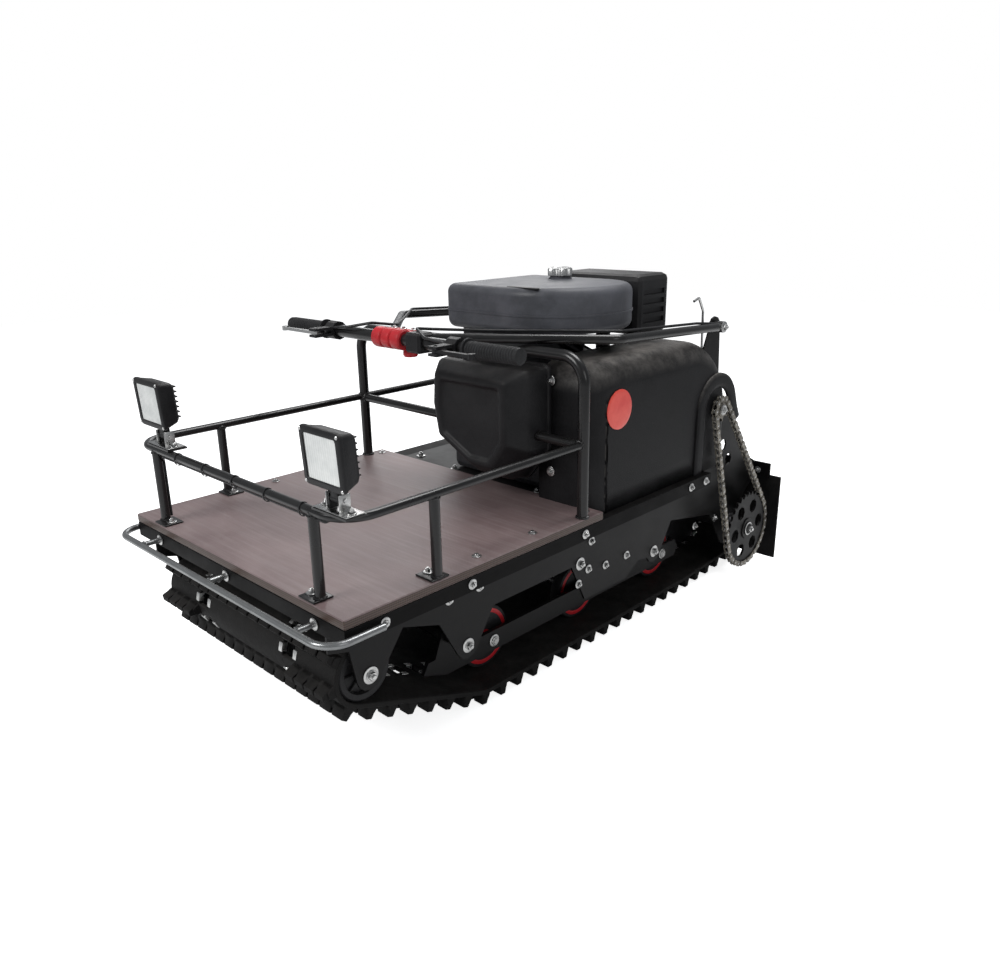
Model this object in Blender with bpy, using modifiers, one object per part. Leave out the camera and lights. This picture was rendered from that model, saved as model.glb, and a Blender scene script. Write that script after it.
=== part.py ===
"""Tracked snow tow vehicle: one driven rubber track, a cargo deck in front,
the engine, its drive hood and a folding handle behind.

Metres, +Z up, +X to the chain side, -Y to the front.  Sizes are laid out from
the front edge of the deck (Y = 0 there); the root empty then moves the whole
vehicle so that its origin lies under the middle of its outline.
"""
import math

import bmesh
import bpy
from mathutils import Matrix, Vector, kdtree

# fits
GAP = 0.0003
RUN = 0.0012

# cargo deck and frame
DECK_W = 0.620
DECK_LEN = 0.560
DECK_T = 0.015
FRAME_TOP = 0.2887
FRAME_LEN = 0.925
TUBE_W = 0.049
TUBE_H = 0.025
CROSS_Y = (0.0125, 0.280, 0.545, 0.900)

# side plates
PLATE_T = 0.004
PLATE_GAP = 0.006
TOWER_FRONT = 0.800
TOWER_TOP = 0.530
LUG_R = 0.020

# rubber track
TRACK_W = DECK_W - 2 * (TUBE_W + PLATE_T + PLATE_GAP + 0.001)
PITCH = 0.0424
BELT_T = 0.008
LUG_H = 0.020
WINDOW_X = TRACK_W * 0.26
WINDOW_W = 0.030
NOSE_Z = 0.172
NOSE_R = 0.0525
NOSE_Y_GUESS = 0.066
GROUND_FRONT = 0.330
GROUND_REAR = 0.940
GROUND_BEND = 0.060
DRIVE_Y = 1.105
DRIVE_Z = 0.114
DRIVE_TEETH = 12

# running gear
ROAD_R = 0.0595
ROAD_W = 0.026
ROAD_Y = (0.378, 0.640, 0.905)
ROAD_X = TRACK_W / 2 - 0.072
ROAD_AXLE_R = 0.008
SKID_X = TRACK_W / 2 - 0.042
SKID_T = 0.008
SKID_H = 0.038
SKID_FRONT = 0.225
SKID_REAR = 0.955
HANGER_Y = (0.270, 0.800)
HANGER_Z = 0.140
HANGER_R = 0.011
APRON_Z = 0.112
IDLER_AXLE_R = 0.009
IDLER_X = TRACK_W / 2 - 0.055
IDLER_W = 0.030
DRIVE_AXLE_R = 0.0125

# chain drive
CHAIN_PITCH = 0.015875
CHAIN_X = DECK_W / 2 - 0.006
ROLLER_R = 0.0050
LINK_GAP = 0.0064
LINK_T = 0.0015
LINK_H = 0.0070
LINK_WAIST = 0.0052
SPROCKET_T = 0.0050
SMALL_TEETH = 9
LARGE_TEETH = 33
CHAIN_CENTRES = 0.335
CHAIN_LEAN = math.radians(116.0)
JACK_R = 0.010

# guard rail, hoop and bumper
RAIL_X = DECK_W / 2 - 0.008
RAIL_Z = 0.435
RAIL_R = 0.007
RAIL_FRONT = 0.010
RAIL_CORNER = 0.050
POST_R = 0.008
POST_X = RAIL_X - 0.070
POST_Y = 0.175
RAIL_LEFT_END = 0.860
HOOP_X = DECK_W / 2 - 0.010
HOOP_Y = 0.513
HOOP_TOP = 0.581
HOOP_BAR_Z = 0.432
HOOP_R = 0.010
HOOP_CORNER = 0.045
BUMPER_X = DECK_W / 2 + 0.008
BUMPER_Y = -0.035
BUMPER_R = 0.0055
BUMPER_END = 0.060
BUMPER_CORNER = 0.038
STUB_X = (-BUMPER_X + 0.093, 0.0, BUMPER_X - 0.078)

# work lamps
LAMP_LEFT_X = 0.094 - RAIL_X
LAMP_RIGHT_X = RAIL_X - 0.022
LAMP_Y = 0.027
LAMP_W = 0.090
LAMP_H = 0.082
LAMP_D = 0.038
LAMP_LIFT = 0.078
LAMP_HINGE = 0.020
LAMP_TILT = math.radians(3.0)
BRACKET_T = 0.003
BRACKET_W = 0.076
BRACKET_D = 0.034
EAR_X = 0.010

# hood
HOOD_OUT = DECK_W / 2 - 0.018
HOOD_IN = HOOD_OUT - 0.120
HOOD_T = 0.003
HOOD_FRONT = 0.545
HOOD_TOP = 0.560
HOOD_REAR = 1.020
BADGE_R = 0.036
BADGE_Y = HOOD_FRONT + 0.077
BADGE_Z = HOOD_TOP - 0.085
ARCH_IN = 0.046
ARCH_OUT = 0.074

# engine group
ENGINE_Y = 0.700
CRANK_Z = 0.400
ENGINE_HALF = 0.112
BASE_T = 0.006
STARTER_R = 0.098
STARTER_T = 0.062
GRIP_HALF = 0.036
TANK_Z = 0.6003
TANK_H = 0.082
TANK_FRONT = 0.535
TANK_REAR = 0.790
TANK_LEFT = -0.060
TANK_RIGHT = DECK_W / 2 - 0.065
TANK_CORNER = 0.125
MUFFLER_LEFT = 0.000
MUFFLER_RIGHT = TANK_RIGHT - 0.040
MUFFLER_FRONT = 0.7945
MUFFLER_REAR = 0.900
MUFFLER_Z = 0.575
MUFFLER_TOP = 0.690
CAP_R = 0.024

# folding handle
PIVOT_Y = 0.990
PIVOT_Z = 0.578
ARM_R = 0.0085
ARM_X = DECK_W / 2 - 0.0375
KINK_X = DECK_W / 2 - 0.020
KINK_Y = 0.620
KINK_Z = 0.598
ARM_FRONT = 0.380
BAR_Y = 0.355
BAR_Z = 0.605
BAR_HALF = 0.300
BAR_R = 0.011
GRIP_R = 0.0138
GRIP_LEN = 0.115
LEVER_REACH = 0.044
LATCH_RISE = 0.132
LATCH_RUN = 0.040

# mud flap
FLAP_W = DECK_W + 0.030
FLAP_T = 0.005
FLAP_Y = 1.2150
FLAP_LOW = 0.012
FLAP_TOP = 0.212
BAR_REAR_Z = 0.222
BAR_REAR_T = 0.004
BAR_REAR_H = 0.038
RIB_T = 0.004

Y_FRONT = BUMPER_Y - BUMPER_R
Y_REAR = FLAP_Y + FLAP_T / 2 + RIB_T
Y_MID = (Y_FRONT + Y_REAR) / 2

for old in list(bpy.data.objects):
    bpy.data.objects.remove(old, do_unlink=True)
BODY = bpy.data.collections.new("snow_tow_vehicle")
CUTTERS = bpy.data.collections.new("cutters")
bpy.context.scene.collection.children.link(BODY)
bpy.context.scene.collection.children.link(CUTTERS)
ROOT = bpy.data.objects.new("vehicle_origin", None)
ROOT.location = (0.0, -Y_MID, 0.0)
BODY.objects.link(ROOT)


def material(name, colour, rough, metal=0.0):
    """A Principled material with one colour."""
    mat = bpy.data.materials.new(name)
    mat.use_nodes = True
    shader = mat.node_tree.nodes["Principled BSDF"]
    shader.inputs["Base Color"].default_value = (*colour, 1.0)
    shader.inputs["Roughness"].default_value = rough
    shader.inputs["Metallic"].default_value = metal
    return mat


PAINT = material("black_paint", (0.012, 0.012, 0.013), 0.35)
STEEL = material("zinc_steel", (0.55, 0.56, 0.57), 0.35, 0.9)
TUBE_GREY = material("grey_tube", (0.30, 0.31, 0.32), 0.38, 0.6)
PLY = material("film_faced_ply", (0.125, 0.085, 0.082), 0.45)
RUBBER = material("track_rubber", (0.010, 0.010, 0.010), 0.75)
PLASTIC = material("black_plastic", (0.020, 0.020, 0.022), 0.55)
TANK_GREY = material("tank_grey", (0.045, 0.048, 0.055), 0.5)
RED = material("red_plastic", (0.65, 0.03, 0.035), 0.45)
CAST = material("cast_alloy", (0.16, 0.16, 0.17), 0.5, 0.7)
GLASS = material("lamp_glass", (0.62, 0.63, 0.62), 0.15)


def scratch(mesh):
    """A working object for a mesh."""
    ob = bpy.data.objects.new("work", mesh)
    CUTTERS.objects.link(ob)
    return ob


def evaluated(ob):
    """The object's mesh with its modifiers, as new data."""
    graph = bpy.context.evaluated_depsgraph_get()
    graph.update()
    mesh = bpy.data.meshes.new_from_object(ob.evaluated_get(graph))
    mesh.transform(ob.matrix_world)
    return mesh


def bake(ob):
    """Turns a curve or a modified object into a plain welded mesh object."""
    mesh = evaluated(ob)
    bm = bmesh.new()
    bm.from_mesh(mesh)
    bmesh.ops.remove_doubles(bm, verts=bm.verts, dist=0.00002)
    bmesh.ops.recalc_face_normals(bm, faces=bm.faces)
    bm.to_mesh(mesh)
    bm.free()
    bpy.data.objects.remove(ob, do_unlink=True)
    return scratch(mesh)


def solid(bm):
    """A working object from a bmesh, with its faces pointing out."""
    bmesh.ops.recalc_face_normals(bm, faces=bm.faces)
    mesh = bpy.data.meshes.new("solid")
    bm.to_mesh(mesh)
    bm.free()
    return scratch(mesh)


def box(x0, x1, y0, y1, z0, z1, bevel=0.0, steps=1):
    """A block between two corners, its edges rounded by bevel."""
    bm = bmesh.new()
    size = Matrix.Diagonal((x1 - x0, y1 - y0, z1 - z0, 1.0))
    mid = Matrix.Translation(((x0 + x1) / 2, (y0 + y1) / 2, (z0 + z1) / 2))
    bmesh.ops.create_cube(bm, size=1.0, matrix=mid @ size)
    if bevel:
        bmesh.ops.bevel(bm, geom=bm.edges[:], offset=bevel, segments=steps,
                        profile=0.5, affect="EDGES")
    return solid(bm)


def rod(start, end, radius, sides=12, end_radius=None):
    """A round bar or cone from one point to another."""
    a, b = Vector(start), Vector(end)
    bm = bmesh.new()
    turn = (b - a).to_track_quat("Z", "Y").to_matrix().to_4x4()
    place = Matrix.Translation((a + b) / 2) @ turn
    bmesh.ops.create_cone(bm, cap_ends=True, segments=sides, radius1=radius,
                          radius2=radius if end_radius is None else end_radius,
                          depth=(b - a).length, matrix=place)
    return solid(bm)


def boolean(base, tools, operation="UNION"):
    """Joins or cuts the base with each tool; the tools are used up."""
    for tool in tools:
        mod = base.modifiers.new("boolean", "BOOLEAN")
        mod.solver = "EXACT"
        mod.operation = operation
        mod.object = tool
    mesh = evaluated(base)
    base.modifiers.clear()
    base.data = mesh
    for tool in tools:
        bpy.data.objects.remove(tool, do_unlink=True)
    return base


def rounded(points, radius, steps=4):
    """An open line whose inner corners are arcs."""
    pts = [Vector(p) for p in points]
    out = [pts[0]]
    for before, corner, after in zip(pts, pts[1:], pts[2:]):
        a = (before - corner).normalized()
        b = (after - corner).normalized()
        half = a.angle(b) / 2
        reach = radius / math.tan(half)
        centre = corner + (a + b).normalized() * (radius / math.sin(half))
        first = corner + a * reach - centre
        last = corner + b * reach - centre
        for i in range(steps + 1):
            arm = first.slerp(last, i / steps)
            out.append(centre + arm.normalized() * radius)
    out.append(pts[-1])
    return out


def tube(points, radius, sides=8):
    """A round tube along a line of points, its ends closed."""
    curve = bpy.data.curves.new("tube", "CURVE")
    curve.dimensions = "3D"
    curve.bevel_depth = radius
    curve.bevel_resolution = max(0, sides // 2 - 2)
    curve.use_fill_caps = True
    line = curve.splines.new("POLY")
    line.points.add(len(points) - 1)
    for spot, p in zip(line.points, points):
        spot.co = (*p, 1.0)
    ob = bpy.data.objects.new("tube", curve)
    CUTTERS.objects.link(ob)
    return bake(ob)


def flat(outlines, thickness):
    """A flat plate from closed outlines in its own XY plane."""
    curve = bpy.data.curves.new("flat", "CURVE")
    curve.dimensions = "2D"
    curve.fill_mode = "BOTH"
    curve.extrude = thickness / 2
    for outline in outlines:
        line = curve.splines.new("POLY")
        line.use_cyclic_u = True
        line.points.add(len(outline) - 1)
        for spot, p in zip(line.points, outline):
            spot.co = (p[0], p[1], 0.0, 1.0)
    ob = bpy.data.objects.new("flat", curve)
    CUTTERS.objects.link(ob)
    ob = bake(ob)
    bm = bmesh.new()
    bm.from_mesh(ob.data)
    bmesh.ops.dissolve_limit(bm, angle_limit=0.002, verts=[], edges=bm.edges)
    bm.to_mesh(ob.data)
    bm.free()
    return ob


def plate_x(outlines, x0, x1):
    """A plate square to X from outlines of (y, z) points."""
    ob = flat(outlines, x1 - x0)
    turn = Matrix(((0, 0, 1, (x0 + x1) / 2), (1, 0, 0, 0), (0, 1, 0, 0),
                   (0, 0, 0, 1)))
    ob.data.transform(turn)
    return ob


def plate_y(outlines, y0, y1):
    """A plate square to Y from outlines of (x, z) points."""
    ob = flat(outlines, y1 - y0)
    turn = Matrix(((1, 0, 0, 0), (0, 0, -1, (y0 + y1) / 2), (0, 1, 0, 0), (0, 0, 0, 1)))
    ob.data.transform(turn)
    return ob


def plate_z(outlines, z0, z1):
    """A plate square to Z from outlines of (x, y) points."""
    ob = flat(outlines, z1 - z0)
    ob.data.transform(Matrix.Translation((0, 0, (z0 + z1) / 2)))
    return ob


def circle(u, v, radius, sides=12, start=0.0):
    """Points round a circle."""
    step = 2 * math.pi / sides
    return [(u + radius * math.cos(start + i * step),
             v + radius * math.sin(start + i * step)) for i in range(sides)]


def arc(u, v, radius, a0, a1, steps):
    """Points along an arc, angles in degrees."""
    out = []
    for i in range(steps + 1):
        a = math.radians(a0 + (a1 - a0) * i / steps)
        out.append((u + radius * math.cos(a), v + radius * math.sin(a)))
    return out


def bore(radius, clearance, sides=12):
    """Corner radius of a faceted hole that clears a round bar."""
    return (radius + clearance) / math.cos(math.pi / sides)


def turned(profile, sides=24, axis="X"):
    """A closed profile of (radius, along) pairs turned about X, Y or Z."""
    bm = bmesh.new()
    verts = [bm.verts.new((r, 0.0, h)) for r, h in profile]
    for a, b in zip(verts, verts[1:]):
        bm.edges.new((a, b))
    mesh = bpy.data.meshes.new("profile")
    bm.to_mesh(mesh)
    bm.free()
    ob = scratch(mesh)
    mod = ob.modifiers.new("turn", "SCREW")
    mod.steps = sides
    mod.render_steps = sides
    mod.use_merge_vertices = True
    mod.merge_threshold = 0.0001
    ob = bake(ob)
    if axis == "X":
        ob.data.transform(Matrix.Rotation(math.radians(90), 4, "Y"))
    if axis == "Y":
        ob.data.transform(Matrix.Rotation(math.radians(-90), 4, "X"))
    return ob


def shifted(ob, x=0.0, y=0.0, z=0.0):
    """Moves a working object's points."""
    ob.data.transform(Matrix.Translation((x, y, z)))
    return ob


def turned_about(ob, angle, axis, y, z):
    """Turns a working object's points about an axis through (y, z)."""
    spin = Matrix.Rotation(angle, 4, axis)
    go = Matrix.Translation((0, y, z))
    ob.data.transform(go @ spin @ go.inverted())
    return ob


def finish(ob, name, mat, origin=(0.0, 0.0, 0.0), crease=35.0):
    """Files a finished piece under its name, its origin on its joint."""
    ob.name = name
    ob.data.name = name
    ob.data.transform(Matrix.Translation(-Vector(origin)))
    ob.location = origin
    ob.parent = ROOT
    ob.data.materials.clear()
    ob.data.materials.append(mat)
    ob.data.shade_smooth()
    ob.data.set_sharp_from_angle(angle=math.radians(crease))
    CUTTERS.objects.unlink(ob)
    BODY.objects.link(ob)
    return ob


def flipped(ob):
    """Turns the object into its mirror image across x = 0."""
    ob.data.transform(Matrix.Diagonal((-1.0, 1.0, 1.0, 1.0)))
    ob.data.flip_normals()
    return ob


def mirrored(ob):
    """A copy of a working object on the other side of the vehicle."""
    mesh = ob.data.copy()
    mesh.transform(Matrix.Diagonal((-1.0, 1.0, 1.0, 1.0)))
    mesh.flip_normals()
    return scratch(mesh)


def loop_segments(wheels):
    """Arcs and straights of a belt round circles (y, z, radius).

    The circles are listed anticlockwise as seen from +X.  The outward normal
    of the straight from A to B makes the angle acos((ra - rb) / distance)
    with the line of centres.
    """
    count = len(wheels)
    turns = []
    for i in range(count):
        ya, za, ra = wheels[i]
        yb, zb, rb = wheels[(i + 1) % count]
        far = math.hypot(yb - ya, zb - za)
        turns.append(math.atan2(zb - za, yb - ya) - math.acos((ra - rb) / far))
    parts = []
    for i in range(count):
        y, z, r = wheels[i]
        yb, zb, rb = wheels[(i + 1) % count]
        sweep = (turns[i] - turns[i - 1]) % (2 * math.pi)
        parts.append(("arc", y, z, r, turns[i - 1], r * sweep))
        a = turns[i]
        p = (y + r * math.cos(a), z + r * math.sin(a))
        q = (yb + rb * math.cos(a), zb + rb * math.sin(a))
        parts.append(("line", *p, a, 0.0, math.dist(p, q)))
    return parts


def loop_length(parts):
    """The whole length of a belt line."""
    return sum(part[-1] for part in parts)


def loop_point(parts, distance):
    """(y, z, normal angle) at a distance along the belt line."""
    left = distance % loop_length(parts)
    for kind, y, z, r, a0, length in parts:
        if left <= length:
            if kind == "arc":
                a = a0 + left / r
                return y + r * math.cos(a), z + r * math.sin(a), a
            return y - left * math.sin(r), z + left * math.cos(r), r
        left -= length
    return loop_point(parts, 0.0)


def solve(error, low, high):
    """Root of a rising function between two values."""
    for _ in range(50):
        mid = (low + high) / 2
        if error(mid) < 0:
            low = mid
        else:
            high = mid
    return (low + high) / 2


# The track's middle line.  The nose wheel is the tensioner: it moves along Y
# until the line holds a whole number of pitches.
BELT_MID = LUG_H + BELT_T / 2
DRIVE_R = DRIVE_TEETH * PITCH / (2 * math.pi)


def track_wheels(nose_y):
    """Circles of the belt's middle line, from the drive axle round."""
    bend = BELT_MID + GROUND_BEND
    return [(DRIVE_Y, DRIVE_Z, DRIVE_R), (nose_y, NOSE_Z, NOSE_R),
            (GROUND_FRONT, bend, GROUND_BEND), (GROUND_REAR, bend, GROUND_BEND)]


PITCHES = round(loop_length(loop_segments(track_wheels(NOSE_Y_GUESS))) / PITCH)
NOSE_Y = solve(lambda y: PITCHES * PITCH - loop_length(loop_segments(track_wheels(y))),
               NOSE_Y_GUESS - 0.04, NOSE_Y_GUESS + 0.04)
TRACK = loop_segments(track_wheels(NOSE_Y))
TRACK_ZERO = -TRACK[0][4] * DRIVE_R
ROW = PITCH / 2
INNER_DRIVE = (DRIVE_R - BELT_T / 2) * math.cos(ROW / DRIVE_R / 2) - GAP
INNER_NOSE = (NOSE_R - BELT_T / 2) * math.cos(ROW / NOSE_R / 2) - GAP
ROAD_Z = LUG_H + BELT_T + GAP + ROAD_R
PLATE_IN = TRACK_W / 2 + PLATE_GAP
PLATE_OUT = PLATE_IN + PLATE_T
RAIL_IN = PLATE_OUT + GAP
FRAME_Z0 = FRAME_TOP - TUBE_H
DECK_TOP = FRAME_TOP + GAP + DECK_T


def track_belt():
    """The windowed rubber band with its lugs.

    Five strips across and two rows to a pitch; every first row is left open
    in strips 1 and 3 for the drive teeth, and every second row carries lugs.
    """
    half = TRACK_W / 2
    inner = WINDOW_X - WINDOW_W / 2
    outer = WINDOW_X + WINDOW_W / 2
    columns = (-half, -outer, -inner, inner, outer, half)
    rows = 2 * PITCHES
    bm = bmesh.new()
    grid = []
    for k in range(rows):
        y, z, a = loop_point(TRACK, TRACK_ZERO + (k - 0.5) * ROW)
        grid.append([bm.verts.new((x, y, z)) for x in columns])
    for k in range(rows):
        for j in range(5):
            if k % 2 == 0 and j in (1, 3):
                continue
            a, b = grid[k], grid[(k + 1) % rows]
            bm.faces.new((a[j], a[j + 1], b[j + 1], b[j]))
    band = solid(bm)
    thick = band.modifiers.new("thickness", "SOLIDIFY")
    thick.thickness = BELT_T
    thick.offset = 0.0
    thick.use_even_offset = False
    band = bake(band)
    bm = bmesh.new()
    bm.from_mesh(band.data)
    bpy.data.objects.remove(band, do_unlink=True)
    bm.faces.ensure_lookup_table()
    tree = kdtree.KDTree(len(bm.faces))
    for i, face in enumerate(bm.faces):
        tree.insert(face.calc_center_median(), i)
    tree.balance()
    lugs = []
    for k in range(1, rows, 2):
        y, z, a = loop_point(TRACK, TRACK_ZERO + k * ROW)
        out = Vector((0, math.cos(a), math.sin(a)))
        strips = [(0, 1, 2, 3, 4)] if k % 4 == 1 else [(0,), (4,)]
        for group in strips:
            faces = []
            for j in group:
                x = (columns[j] + columns[j + 1]) / 2
                spot = Vector((x, y, z)) + out * (BELT_T / 2)
                faces.append(bm.faces[tree.find(spot)[1]])
            lugs.append((faces, Vector((0, y, z)), out))
    for faces, middle, out in lugs:
        made = bmesh.ops.extrude_face_region(bm, geom=faces)
        along = Vector((0, -out.z, out.y))
        for v in made["geom"]:
            if isinstance(v, bmesh.types.BMVert):
                slip = (v.co - middle).dot(along)
                rise = (v.co - middle).dot(out)
                v.co += out * (BELT_T / 2 + LUG_H - rise) - along * slip * 0.5
        bmesh.ops.delete(bm, geom=faces, context="FACES")
    return solid(bm)


finish(track_belt(), "track_belt", RUBBER, crease=20.0)


def wheel_steps(x, radius, width, axle_r):
    """Profile of one wheel on its axle: web, rim and tread, left to right."""
    w = width / 2
    web = 0.35 * w
    rim = 0.78 * radius
    return [(axle_r, x - web), (rim, x - web), (rim * 1.06, x - w),
            (radius, x - 0.8 * w), (radius, x + 0.8 * w), (rim * 1.06, x + w),
            (rim, x + web), (axle_r, x + web)]


def axle_with_wheels(y, z, radius, width, axle_r, places, left, right, sides=12):
    """Wheels fused on a spinning axle, turned in one piece about X."""
    profile = [(0.0, left), (axle_r, left)]
    for x in places:
        profile += wheel_steps(x, radius, width, axle_r)
    profile += [(axle_r, right), (0.0, right)]
    return shifted(turned(profile[::-1], sides), 0.0, y, z)


ROAD_REACH = SKID_X + SKID_T / 2 + 0.005
for label, y in zip(("front", "middle", "rear"), ROAD_Y):
    station = axle_with_wheels(y, ROAD_Z, ROAD_R, ROAD_W, ROAD_AXLE_R,
                               (-ROAD_X, ROAD_X), -ROAD_REACH, ROAD_REACH)
    finish(station, "road_wheels_" + label, RED, (0, y, ROAD_Z))

IDLER_REACH = PLATE_OUT + 0.005
idler = axle_with_wheels(NOSE_Y, NOSE_Z, INNER_NOSE, IDLER_W, IDLER_AXLE_R,
                         (-IDLER_X, IDLER_X), -IDLER_REACH, IDLER_REACH)
finish(idler, "front_idler", PLASTIC, (0, NOSE_Y, NOSE_Z))


def toothed_wheel(x):
    """A drive sprocket of the track: its teeth stand in the windows."""
    base = INNER_DRIVE
    tip = DRIVE_R + 0.006
    tooth = ROW * 0.5 - 0.0032
    outline = []
    for k in range(DRIVE_TEETH):
        a = 2 * math.pi * k / DRIVE_TEETH
        for r, side in ((base, -1.0), (tip, -0.55), (tip, 0.55), (base, 1.0)):
            b = a + side * tooth / base
            outline.append((DRIVE_Y + r * math.cos(b), DRIVE_Z + r * math.sin(b)))
    w = WINDOW_W / 2 - 0.004
    return plate_x([outline], x - w, x + w)


AXLE_OUT = CHAIN_X + 0.008
BEARING_T = 0.012
drive = rod((-PLATE_OUT - BEARING_T - 0.004, DRIVE_Y, DRIVE_Z), (AXLE_OUT, DRIVE_Y, DRIVE_Z),
            DRIVE_AXLE_R)
drive = boolean(drive, [toothed_wheel(-WINDOW_X), toothed_wheel(WINDOW_X)])
finish(drive, "drive_axle", PLASTIC, (0, DRIVE_Y, DRIVE_Z))


# Roller chain.  The rollers are walked round both pitch circles at a fixed
# chord, and the upper shaft moves along its slot until the chain closes.
SMALL_R = CHAIN_PITCH / (2 * math.sin(math.pi / SMALL_TEETH))
LARGE_R = CHAIN_PITCH / (2 * math.sin(math.pi / LARGE_TEETH))


def chain_path(centres):
    """The pitch line of the chain for a distance between its shafts."""
    top = (DRIVE_Y + centres * math.cos(CHAIN_LEAN),
           DRIVE_Z + centres * math.sin(CHAIN_LEAN))
    return loop_segments([(DRIVE_Y, DRIVE_Z, LARGE_R), (*top, SMALL_R)])


def walk_chain(centres, links):
    """Roller centres at one chord apart, and how far the last overshoots."""
    path = chain_path(centres)
    start = (-math.pi / 2 - path[0][4]) % (2 * math.pi) * LARGE_R
    s = start
    spots = []
    for _ in range(links):
        here = loop_point(path, s)
        spots.append(here)
        base = s
        s = solve(lambda t: math.dist(loop_point(path, t)[:2], here[:2]) - CHAIN_PITCH,
                  base + 0.5 * CHAIN_PITCH, base + 1.5 * CHAIN_PITCH)
    return spots, s - start - loop_length(path)


LINKS = 2 * round(loop_length(chain_path(CHAIN_CENTRES)) / CHAIN_PITCH / 2)
CENTRES = solve(lambda c: -walk_chain(c, LINKS)[1],
                CHAIN_CENTRES - 0.012, CHAIN_CENTRES + 0.012)
ROLLERS = walk_chain(CENTRES, LINKS)[0]
JACK_Y = DRIVE_Y + CENTRES * math.cos(CHAIN_LEAN)
JACK_Z = DRIVE_Z + CENTRES * math.sin(CHAIN_LEAN)


def chain():
    """The endless roller chain, every pin and roller fused to its plates.

    One half is laid out over its middle plane: a roller of six sides at each
    pin, then the plate, as wide as LINK_H at a pin and LINK_WAIST between.
    The Mirror modifier makes the other half.
    """
    near = LINK_GAP / 2
    far = near + LINK_T
    bm = bmesh.new()
    pins = []
    waists = []
    for i, (y, z, a) in enumerate(ROLLERS):
        yn, zn, an = ROLLERS[(i + 1) % LINKS]
        across = math.atan2(-(yn - y), zn - z)
        ym, zm = (y + yn) / 2, (z + zn) / 2
        pin = {}
        waist = {}
        for side, x in (("near", near), ("far", far)):
            for sign in (1.0, -1.0):
                pin[side, sign] = bm.verts.new((x, y + sign * LINK_H * math.cos(a),
                                                z + sign * LINK_H * math.sin(a)))
                waist[side, sign] = bm.verts.new(
                    (x, ym + sign * LINK_WAIST * math.cos(across),
                     zm + sign * LINK_WAIST * math.sin(across)))
        for side, x in (("mid", 0.0), ("seat", near)):
            pin[side] = [bm.verts.new((x, y + ROLLER_R * math.cos(a + k * math.pi / 3),
                                       z + ROLLER_R * math.sin(a + k * math.pi / 3)))
                         for k in range(6)]
        pins.append(pin)
        waists.append(waist)
    for i in range(LINKS):
        p, w, q = pins[i], waists[i], pins[(i + 1) % LINKS]
        bm.faces.new([p["near", 1.0], *p["seat"][:4], p["near", -1.0],
                      w["near", -1.0], w["near", 1.0]])
        bm.faces.new([w["near", 1.0], w["near", -1.0], q["near", -1.0],
                      *q["seat"][3:], q["seat"][0], q["near", 1.0]])
        bm.faces.new([p["far", 1.0], w["far", 1.0], w["far", -1.0], p["far", -1.0]])
        bm.faces.new([w["far", 1.0], q["far", 1.0], q["far", -1.0], w["far", -1.0]])
        for sign in (1.0, -1.0):
            bm.faces.new([p["near", sign], w["near", sign], w["far", sign], p["far", sign]])
            bm.faces.new([w["near", sign], q["near", sign], q["far", sign], w["far", sign]])
        for k in range(6):
            m = (k + 1) % 6
            bm.faces.new([p["mid"][k], p["mid"][m], p["seat"][m], p["seat"][k]])
    half = solid(bm)
    mod = half.modifiers.new("halves", "MIRROR")
    mod.merge_threshold = 0.00005
    whole = bake(half)
    bm = bmesh.new()
    bm.from_mesh(whole.data)
    seam = [e for e in bm.edges if all(abs(v.co.x) < 0.00001 for v in e.verts)]
    bmesh.ops.dissolve_edges(bm, edges=seam, use_verts=True)
    bm.to_mesh(whole.data)
    bm.free()
    return shifted(whole, CHAIN_X)


finish(chain(), "roller_chain", STEEL, crease=30.0)


def chain_sprocket(y, z, teeth, seat_angle, hole, hub, hub_in, hub_out, windows=()):
    """A chain sprocket: between two rollers a tooth, under each a round seat."""
    radius = CHAIN_PITCH / (2 * math.sin(math.pi / teeth))
    seat = (ROLLER_R + GAP) / math.cos(math.radians(30.0)) + 0.0001
    step = 2 * math.pi / teeth
    outline = []
    for k in range(teeth):
        a = seat_angle + k * step
        cy = y + radius * math.cos(a)
        cz = z + radius * math.sin(a)
        for turn in (-60.0, 0.0, 60.0):
            b = a + math.pi - math.radians(turn)
            outline.append((cy + seat * math.cos(b), cz + seat * math.sin(b)))
        for part in (0.44, 0.56):
            tip = radius + 0.0026
            outline.append((y + tip * math.cos(a + part * step),
                            z + tip * math.sin(a + part * step)))
    w = SPROCKET_T / 2
    ring = plate_x([outline, *windows], CHAIN_X - w, CHAIN_X + w)
    boss = rod((CHAIN_X - hub_in, y, z), (CHAIN_X + hub_out, y, z), hub, 14)
    drill = rod((CHAIN_X - 0.05, y, z), (CHAIN_X + 0.05, y, z), hole)
    return boolean(boolean(ring, [boss]), [drill], "DIFFERENCE")


LIGHTEN_R = LARGE_R * 0.63
lighten = [circle(DRIVE_Y + LIGHTEN_R * math.cos(k * math.pi / 3 + 0.1),
                  DRIVE_Z + LIGHTEN_R * math.sin(k * math.pi / 3 + 0.1), LARGE_R * 0.19, 8,
                  k * math.pi / 3 + 0.23) for k in range(6)]
large = chain_sprocket(DRIVE_Y, DRIVE_Z, LARGE_TEETH, -math.pi / 2,
                       bore(DRIVE_AXLE_R, GAP), 0.024, 0.006, 0.005, lighten)
finish(large, "chain_sprocket_lower", STEEL, (CHAIN_X, DRIVE_Y, DRIVE_Z))
TOP_ROLLER = max(ROLLERS, key=lambda spot: spot[1])
TOP_ANGLE = math.atan2(TOP_ROLLER[1] - JACK_Z, TOP_ROLLER[0] - JACK_Y)
small = chain_sprocket(JACK_Y, JACK_Z, SMALL_TEETH, TOP_ANGLE,
                       bore(JACK_R, GAP), 0.0145, 0.0055, 0.0045)
finish(small, "chain_sprocket_upper", STEEL, (CHAIN_X, JACK_Y, JACK_Z))

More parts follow.
